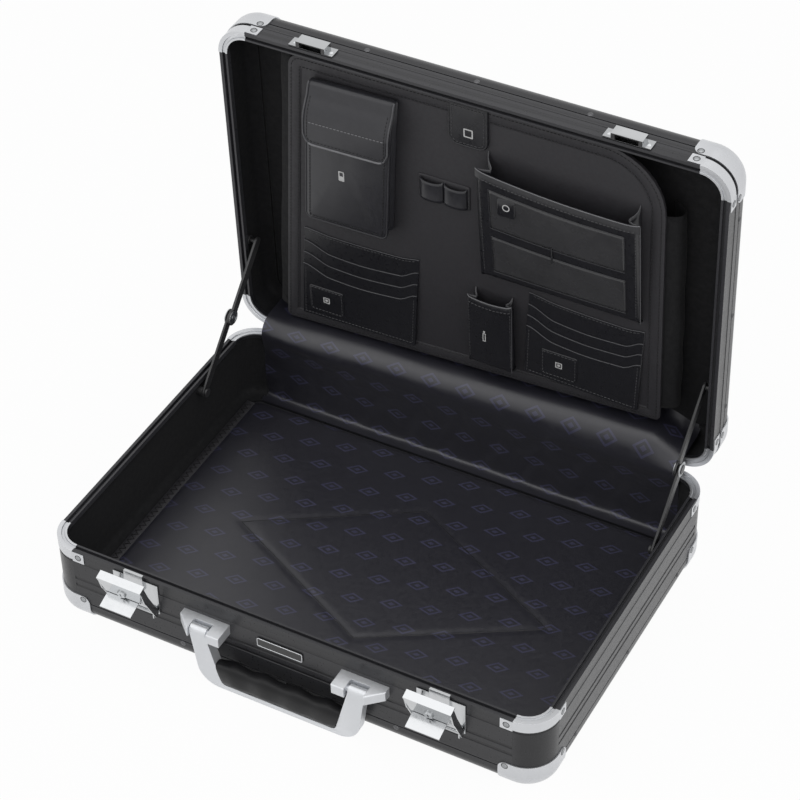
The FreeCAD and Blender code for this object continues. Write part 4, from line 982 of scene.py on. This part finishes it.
pouchMesh = plateMesh(pouchOutline, pouchSet["profile"], pouchPlace, pouchSet["crown"], ruffle=pouchSet["ruffle"])
sew("phonePouch", pouchMesh, paintedSheenLeather, replaces=["phone_pouch"], smooth=70)
sew("pouchPiping", tubeMesh(lidLoop(pouchOutline, 0.7, 5.0, False, pouchPlace), 0.95, True), paintedSheenLeather)
sew("pouchStitches", stitchMesh([lidLoop(pouchOutline, 4.6, 6.45, place=pouchPlace)]), darkThread)

flapSet = {
    "length": 56.0, "corner": 10.0, "skin": 1.5, "dash": 0.6, "straight": 32.0, "lean": 0.063, "columns": 30,
    "straightRows": 15, "sink": 0.35, "bulge": 0.5, "proud": 0.12,
    "section": [(0.2, -7.6), (1.4, -5.6), (1.8, -3.0), (1.3, -0.6), (-0.8, 1.1), (-4.0, 1.9), (-10.0, 3.4),
                (-15.0, 5.7), (-20.0, 7.8), (-26.0, 9.5), (-32.0, 10.2)],
}
flapTurn = smoothLine(flapSet["section"], 2.0)
flapRows = len(flapTurn) + flapSet["straightRows"]
flapColumns = flapSet["columns"]


# u across the flap, v from its sewn edge over the turn and down to its hem
def flapSpot(u, v):
    index = v * (flapRows - 1)
    width = flapRight - flapLeft
    if index <= len(flapTurn) - 1:
        rise, out = flapTurn[round(index)]
    else:
        share = (index - len(flapTurn) + 1) / (flapRows - len(flapTurn))
        edge = max(0.0, flapSet["corner"] - min(u, 1 - u) * width)
        length = flapSet["length"] - flapSet["corner"] + math.sqrt(max(0.0, flapSet["corner"] ** 2 - edge ** 2))
        rise = -between(flapSet["straight"], length, share)
        out = flapSet["section"][-1][1] - flapSet["sink"] * share + flapSet["bulge"] * arch(u) * arch(share)
    lean = flapSet["lean"] * min(0.0, rise)
    return lidPlace(flapLeft + width * u + lean, between(flapLeftTop, flapRightTop, u) + rise, out)


def flapInset(u, v, inset):
    return flapSpot(min(max(u, inset), 1 - inset), v) + lidOut * flapSet["proud"] * mm


flap = sew("phoneFlap", gridMesh(flapColumns, flapRows - 1, flapSpot, True), paintedSheenLeather, "phone_flap",
           ["phone_flap"], closed=False, smooth=70)
thicken(flap, flapSet["skin"])
flapDown = [row / (flapRows - 1) for row in range(3, flapRows)]
flapAcross = [column / flapColumns for column in range(flapColumns + 1)]
flapEdge = [flapSpot(0, v) for v in flapDown] + [flapSpot(u, 1) for u in flapAcross[1:-1]]
flapEdge += [flapSpot(1, v) for v in reversed(flapDown)]
sew("flapPiping", tubeMesh(flapEdge, 0.85), edgePaint, "phone_flap")
sew("flapHem", tubeMesh([flapSpot(u, 1) for u in flapAcross[2:-2]], 1.05), mouthPaint, "phone_flap")
flapRow = [flapInset(0, v / 24, 0.045) for v in range(6, 23)]
flapRow += [flapInset(u, 22.6 / 24, 0.045) for u in flapAcross[2:-2]]
flapRow += [flapInset(1, v / 24, 0.045) for v in range(22, 5, -1)]
flapDash = [flapInset(u, flapSet["dash"], 0.06) for u in flapAcross]
sew("flapStitches", stitchMesh([flapRow]), darkThread, "phone_flap")
sew("flapSeam", stitchMesh([flapDash]), mouthPaint, "phone_flap")
print("phone pouch and flap made")

# two loops for pens on a cloth strip
penSet = {
    "left": -46.0, "width": 22.0, "pitch": 22.2, "low": 40.0, "high": 61.0, "rise": 5.6, "foot": -7.9, "draw": 1.8,
    "skin": 1.3, "strip": (-48, 0, 38, 63), "stripProfile": [(0, -8.1), (0, -7.4), (0.5, -7.1)],
    "seams": (-47, -24.4, -23.4, -1.0), "seamLow": 39.5, "seamHigh": 61.5, "seamOut": -7.0,
}
penParts = []
for index in range(2):
    def penSpot(u, v):
        x = penSet["left"] + index * penSet["pitch"] + penSet["width"] * (0.5 - 0.5 * math.cos(math.pi * u))
        swell = arch(u) ** 0.7
        h = between(penSet["low"], penSet["high"] - penSet["draw"] * swell, v)
        return lidPlace(x, h, penSet["foot"] + penSet["rise"] * swell * (1 - 0.08 * arch(v)))

    penParts.append(gridMesh(26, 8, penSpot))
penLoops = sew("penLoops", joinMeshes(penParts), paintedSheenLeather, replaces=["pen_loops"], closed=False, smooth=70)
thicken(penLoops, penSet["skin"])
stripOutline = Outline(rectangle(*penSet["strip"]), [2, 2, 2, 2])
sew("penStrip", plateMesh(stripOutline, penSet["stripProfile"]), panelCloth)
penSeams = [[lidPlace(x, h, penSet["seamOut"]) for h in (penSet["seamLow"], penSet["seamHigh"])]
            for x in penSet["seams"]]
sew("penStitches", stitchMesh(penSeams), thread)

# open pockets: a front that stands off the panel, folded sides and a bound mouth
pocketSet = {"skin": 1.3, "sideSkin": 0.9, "turnUnder": 0.95, "underDrop": 1.2, "foot": -7.9, "sideFoot": -7.7,
             "curlRun": 0.03, "sideDip": 2.5, "sideRows": (0.025, 0.975)}


# u across the front, v down from its mouth; the last bit turns under to the panel
def pocketSpot(pocket, u, v):
    turn = pocketSet["turnUnder"]
    down = min(1.0, v / turn)
    top = pocket["top"] + pocket["tilt"] * (0.5 - u) - pocket["sag"] * arch(u)
    h = between(top, pocket["bottom"], down)
    out = between(pocket["mouth"], pocket["foot"], down)
    out += pocket["bulge"] * arch(u) * arch(0.25 + 0.72 * v)
    out -= pocket["curl"] * math.exp(-min(u, 1 - u) / pocketSet["curlRun"]) * (1 - v)
    if v > turn:
        under = (v - turn) / (1 - turn)
        out = between(out, pocketSet["foot"], under)
        h -= pocketSet["underDrop"] * under
    return between(pocket["left"], pocket["right"], u), h, out


def openPocket(name, node, pocket):
    def frontSpot(u, v):
        return lidPlace(*pocketSpot(pocket, u, v))

    front = sew(name, gridMesh(36, 30, frontSpot, True), replaces=[node], closed=False, smooth=70)
    thicken(front, pocketSet["skin"])
    sides, topLines = [], []
    for edge, sign in ((0.0, 1), (1.0, -1)):
        def sideSpot(w, v):
            x, h, out = pocketSpot(pocket, edge, v * pocketSet["turnUnder"])
            wave = arch(w) + 0.35 * arch(2 * w)
            fold = (pocket["fold"] * wave + pocket["inset"] * w) * (1 - 0.75 * v)
            h += (pocket["lift"] * w * w - pocketSet["sideDip"] * arch(w)) * (1 - v)
            return lidPlace(x + sign * (fold + 0.3), h, between(out, pocketSet["sideFoot"], w))

        sides.append(gridMesh(14, 20, sideSpot))
        topLines.append([sideSpot(w / 14, 0.0) for w in range(15)])
    thicken(sew(name + "Sides", joinMeshes(sides), closed=False, smooth=80), pocketSet["sideSkin"], 0.0)
    mouth = [frontSpot(u / 40, 0.0) for u in range(41)]
    band = pocket["band"]
    section = [(-band, 0.2), (-band, 0.75), (-0.9, 0.85), (0.5, 0.3), (0.5, -1.2), (-0.9, -1.9), (-band, -1.8)]
    sew(name + "Binding", bandMesh(mouth, section, lidUp, lidOut), smooth=40)
    sew(name + "Edge", tubeMesh([p + (lidUp * 0.7 + lidOut * 0.4) * mm for p in mouth], 0.45), mouthPaint)
    topLines.append([frontSpot(1.0, v / 20) for v in range(20)])
    sew(name + "SideEdges", joinMeshes([tubeMesh(line, 0.5, sides=6) for line in topLines]), edgePaint)
    rows = [[p + (lidOut * 0.85 - lidUp * (band - 1.2)) * mm for p in mouth[1:-1]]]
    for edge in pocketSet["sideRows"]:
        rows.append([frontSpot(edge, v / 20) + lidOut * 0.1 * mm for v in range(2, 19)])
    sew(name + "Stitches", stitchMesh(rows), thread)


accessorySet = {
    "left": 12.0, "right": 158.0, "top": 92.0, "bottom": -21.0, "tilt": 9.0, "sag": 2.0, "mouth": 8.6, "foot": -2.6,
    "bulge": 1.8, "curl": 3.0, "fold": 8.0, "inset": 5.5, "lift": 10.0, "band": 7.0,
}
openPocket("accessoryPocket", "accessory_pocket", accessorySet)
windowSet = {"sides": (0.085, 0.915), "heights": ((0.12, 0.47), (0.55, 0.88)), "lift": 0.45, "puff": 0.7,
             "uneven": 0.5, "skin": 0.4, "seamAt": 0.47, "seamFrom": 0.44, "seamTo": 0.59}
for number, (high, low) in enumerate(windowSet["heights"]):
    def windowSpot(u, v):
        x, h, out = pocketSpot(accessorySet, between(*windowSet["sides"], u), between(high, low, v))
        puff = windowSet["puff"] * arch(u) * arch(v) + windowSet["uneven"] * noise.noise((u * 5, v * 3, number))
        return lidPlace(x, h, out + windowSet["lift"] + puff * min(1.0, 8 * min(u, 1 - u, v, 1 - v)))

    pane = sew("pocketWindow" + str(number + 1), gridMesh(40, 12, windowSpot, True), windowVinyl, closed=False,
               smooth=80)
    thicken(pane, windowSet["skin"])
    border = [windowSpot(k / 30, 0) for k in range(30)] + [windowSpot(1, k / 10) for k in range(10)]
    border += [windowSpot(1 - k / 30, 1) for k in range(30)] + [windowSpot(0, 1 - k / 10) for k in range(10)]
    sew("windowEdge" + str(number + 1), tubeMesh(border, 0.4, True, 6), paintedSheenLeather)
seamShares = [between(windowSet["seamFrom"], windowSet["seamTo"], k / 12) for k in range(13)]
windowSeam = [pocketSpot(accessorySet, windowSet["seamAt"], share) for share in seamShares]
sew("windowSeam", tubeMesh([lidPlace(x, h, out + 0.9) for x, h, out in windowSeam], 0.8, sides=6))
slimSet = {
    "left": 1.0, "right": 42.0, "top": -45.0, "bottom": -119.5, "tilt": 0.0, "sag": 1.5, "mouth": 3.4, "foot": 1.0,
    "bulge": 1.2, "curl": 2.2, "fold": 4.5, "inset": 3.0, "lift": 3.0, "band": 6.0,
}
openPocket("slimPouch", "slim_pouch", slimSet)
print("open pockets made")

# card pockets: stepped slots with scooped, lighter edges and a small tag
cardSet = {
    "steps": (0.0, 0.14, 0.27, 0.40), "layer": 0.8, "foot": -8.0, "dip": 11.5, "topDip": 0.3,
    "scoop": ((0.72, 0.24, 0.16), (0.28, 0.5, 0.5)), "points": 28, "tag": (17, 13, 15),
}


# how far a slot's edge dips at a share of its width: a broad dip with shoulders and a deeper middle
def scoop(share):
    dips = [(part, min(1.0, share / left, (1 - share) / right)) for part, left, right in cardSet["scoop"]]
    return cardSet["dip"] * sum(part * ease(rise) for part, rise in dips)


def cardPocket(name, node, corners, tagX, tagH):
    topLeft, topRight, lowRight, lowLeft = (Vector(corner) for corner in corners)
    shares = [k / cardSet["points"] for k in range(cardSet["points"] + 1)]
    layers, edges, rows = [], [], []
    for index, step in enumerate(cardSet["steps"]):
        left, right = topLeft.lerp(lowLeft, step), topRight.lerp(lowRight, step)
        low = cardSet["foot"] + cardSet["layer"] * index
        high = low + cardSet["layer"]
        depth = 1.0 if index else cardSet["topDip"]
        top = [left.lerp(right, share) - Vector((0, scoop(share) * depth)) for share in shares]
        outline = Outline(top + cutRuns([lowRight, lowLeft], 9.0))
        layers.append(plateMesh(outline, [(0, low - 0.1), (0, high - 0.3), (0.35, high)]))
        edges.append(tubeMesh([lidPlace(p.x, p.y - 0.3, high) for p in top], 0.36, sides=6))
        if not index:
            rows.append([lidPlace(p.x, p.y - 2.5, high + 0.1) for p in top[1:-1]])
    front = high + 0.1
    border = insetOutline([topLeft, topRight, lowRight, lowLeft], 2.6)
    share = cardSet["steps"][-1] + 0.04
    hem = (border[0].lerp(border[3], share), border[3], border[2], border[1].lerp(border[2], share))
    rows.append([lidPlace(p.x, p.y, front) for p in hem])
    sew(name, joinMeshes(layers), replaces=[node], smooth=40)
    sew(name + "Edges", joinMeshes(edges), edgePaint)
    half, over, under = cardSet["tag"]
    tagOutline = Outline(rectangle(tagX - half, tagX + half, tagH - under, tagH + over), [2, 2, 4, 4])
    tagProfile = [(0, front - 0.2), (0, front + 0.4), (0.5, front + 0.7)]
    sew(name + "Tag", plateMesh(tagOutline, tagProfile, crown=0.3), smooth=60)
    rows.append(lidLoop(tagOutline, 1.8, front + 0.85))
    sew(name + "Stitches", stitchMesh(rows), thread)
    return tagX, tagH, front + 0.95


cardSigns = [
    cardPocket("cardPocketLeft", "card_pocket_left", [(-163, -36), (-50, -33), (-56, -131), (-169, -134)],
               -143.4, -111.0),
    cardPocket("cardPocketRight", "card_pocket_right", [(54.5, -29), (160.5, -33), (157, -121), (51, -117)],
               84.2, -97.5),
]
print("card pockets made")

# closing tab at the panel's top
tabSet = {"corners": rectangle(-18, 18, 105.5, 147.5), "radii": [1, 1, 9, 9],
          "profile": [(0, -8.1), (-0.1, -6.6), (0.7, -5.8), (2.0, -5.7)]}
tabOutline = Outline(tabSet["corners"], tabSet["radii"], 5.0, 8)
sew("closureTab", plateMesh(tabOutline, tabSet["profile"], crown=0.35), replaces=["closure_tab"], smooth=60)
sew("tabPiping", tubeMesh(lidLoop(tabOutline, 0.9, -5.9, False), 0.75, True))
sew("tabStitches", stitchMesh([lidLoop(tabOutline, 3.4, -5.45)]), thread)

# small plain signs in white: x, h and out of the middle, width, height and line of hollow ones
signSet = {
    "boxes": [(0.5, 120.0, -5.25, 8.5, 8.5, 1.1), (-113.5, 46.5, 7.55, 5.4, 10.0, 1.0),
              (-113.5, 44.4, 7.55, 3.6, 4.2), (17.5, -85.0, 4.4, 3.0, 9.0, 0.8), (17.5, -79.0, 4.4, 1.8, 2.2)],
    "cardBoxes": [(6.4, 6.4, 1.0), (2.6, 2.6)], "corner": 0.6, "sunk": 0.1, "proud": 0.06,
    "tag": (33, 49, 58, 76), "tagProfile": [(0, 6.6), (0, 8.6), (0.5, 9.1)],
    "ring": {"x": 41.3, "h": 67.8, "out": 9.2, "radius": 3.4, "line": 0.9},
}


def signMesh(outline, out, line):
    low, high = out - signSet["sunk"], out + signSet["proud"]
    inner = [(line, high), (line, low)] if line else []
    return plateMesh(outline, [(0, low), (0, high)] + inner, capped=not line)


def signBox(x, h, out, width, height, line=0.0):
    corners = rectangle(x - width / 2, x + width / 2, h - height / 2, h + height / 2)
    return signMesh(Outline(corners, [signSet["corner"]] * 4, 50.0, 3), out, line)


signParts = [signBox(*box) for box in signSet["boxes"]]
signParts += [signBox(*spot, *box) for spot in cardSigns for box in signSet["cardBoxes"]]
sew("pocketSigns", joinMeshes(signParts), whiteMark)
sew("accessoryTag", plateMesh(Outline(rectangle(*signSet["tag"]), [3, 3, 3, 3], 20.0), signSet["tagProfile"]))
ringSet = signSet["ring"]
signRing = Outline([(ringSet["x"] + c, ringSet["h"] + s) for c, s in circle(24, ringSet["radius"])])
sew("accessorySign", signMesh(signRing, ringSet["out"], ringSet["line"]), whiteMark)
print("tab and signs made")

# stage: white floor and surroundings, soft lamps, camera
stageSet = {"ambient": 0.4, "floorGlow": 0.96, "floorTone": 0.9, "floorHalf": 7.0}


# 1 for rays that see the surroundings straight, mirrored or through glass
def seenRays(tree):
    rays = tree.nodes.new("ShaderNodeLightPath")
    total = rays.outputs["Is Camera Ray"]
    for name in ("Is Glossy Ray", "Is Transmission Ray"):
        node = tree.nodes.new("ShaderNodeMath")
        node.operation = "MAXIMUM"
        tree.links.new(total, node.inputs[0])
        tree.links.new(rays.outputs[name], node.inputs[1])
        total = node.outputs[0]
    return total


world = bpy.data.worlds.new("studio")
scene.world = world
world.use_nodes = True
skyTree = world.node_tree
sky = skyTree.nodes["Background"]
sky.inputs["Color"].default_value = (1, 1, 1, 1)
level = skyTree.nodes.new("ShaderNodeMapRange")
level.inputs["To Min"].default_value = stageSet["ambient"]
level.inputs["To Max"].default_value = 1.0
skyTree.links.new(seenRays(skyTree), level.inputs["Value"])
skyTree.links.new(level.outputs["Result"], sky.inputs["Strength"])

floorMaterial = bpy.data.materials.new("paleFloor")
floorMaterial.use_nodes = True
floorTree = floorMaterial.node_tree
floorTree.nodes.clear()
paint, glow, share, blendFloor, floorOut = (
    floorTree.nodes.new("ShaderNode" + kind)
    for kind in ("BsdfDiffuse", "Emission", "Math", "MixShader", "OutputMaterial"))
paint.inputs["Color"].default_value = (*[stageSet["floorTone"]] * 3, 1)
share.operation = "MULTIPLY"
share.inputs[1].default_value = stageSet["floorGlow"]
floorTree.links.new(seenRays(floorTree), share.inputs[0])
for index, node in enumerate((share, paint, glow)):
    floorTree.links.new(node.outputs[0], blendFloor.inputs[index])
floorTree.links.new(blendFloor.outputs[0], floorOut.inputs["Surface"])
floorHalf = stageSet["floorHalf"]
floorMesh = bpy.data.meshes.new("floor")
floorCorners = [(x, y, 0) for x, y in reversed(rectangle(-floorHalf, floorHalf, -floorHalf, floorHalf))]
floorMesh.from_pydata(floorCorners, [], [(0, 1, 2, 3)])
floorMesh.materials.append(floorMaterial)
floor = bpy.data.objects.new("floor", floorMesh)
scene.collection.objects.link(floor)

lamps = {
    "overhead": {"at": (0.2, -0.2, 2.6), "aim": (0.0, 0.0, 0.1), "size": 3.2, "power": 21.0},
    "leftBox": {"at": (-1.9, -1.6, 1.7), "aim": (0.0, 0.0, 0.15), "size": 2.0, "power": 10.0},
    "rightBox": {"at": (2.1, -0.6, 1.4), "aim": (0.0, 0.1, 0.15), "size": 2.2, "power": 11.0},
}
for name, lamp in lamps.items():
    light = bpy.data.lights.new(name, "AREA")
    light.shape = "SQUARE"
    light.size = lamp["size"]
    light.energy = lamp["power"]
    holder = bpy.data.objects.new(name, light)
    holder.location = lamp["at"]
    holder.rotation_euler = (Vector(lamp["aim"]) - Vector(lamp["at"])).to_track_quat("-Z", "Y").to_euler()
    scene.collection.objects.link(holder)

cameraSet = {"at": (0.77461, -1.35417, 1.56670), "turn": (48.7586, 0.9188, 28.2946), "lens": 115.783}
cameraData = bpy.data.cameras.new("viewCamera")
cameraData.lens = cameraSet["lens"]
cameraData.sensor_width = 36.0
camera = bpy.data.objects.new("viewCamera", cameraData)
camera.location = cameraSet["at"]
camera.rotation_euler = [math.radians(angle) for angle in cameraSet["turn"]]
scene.collection.objects.link(camera)
scene.camera = camera
print("stage set")
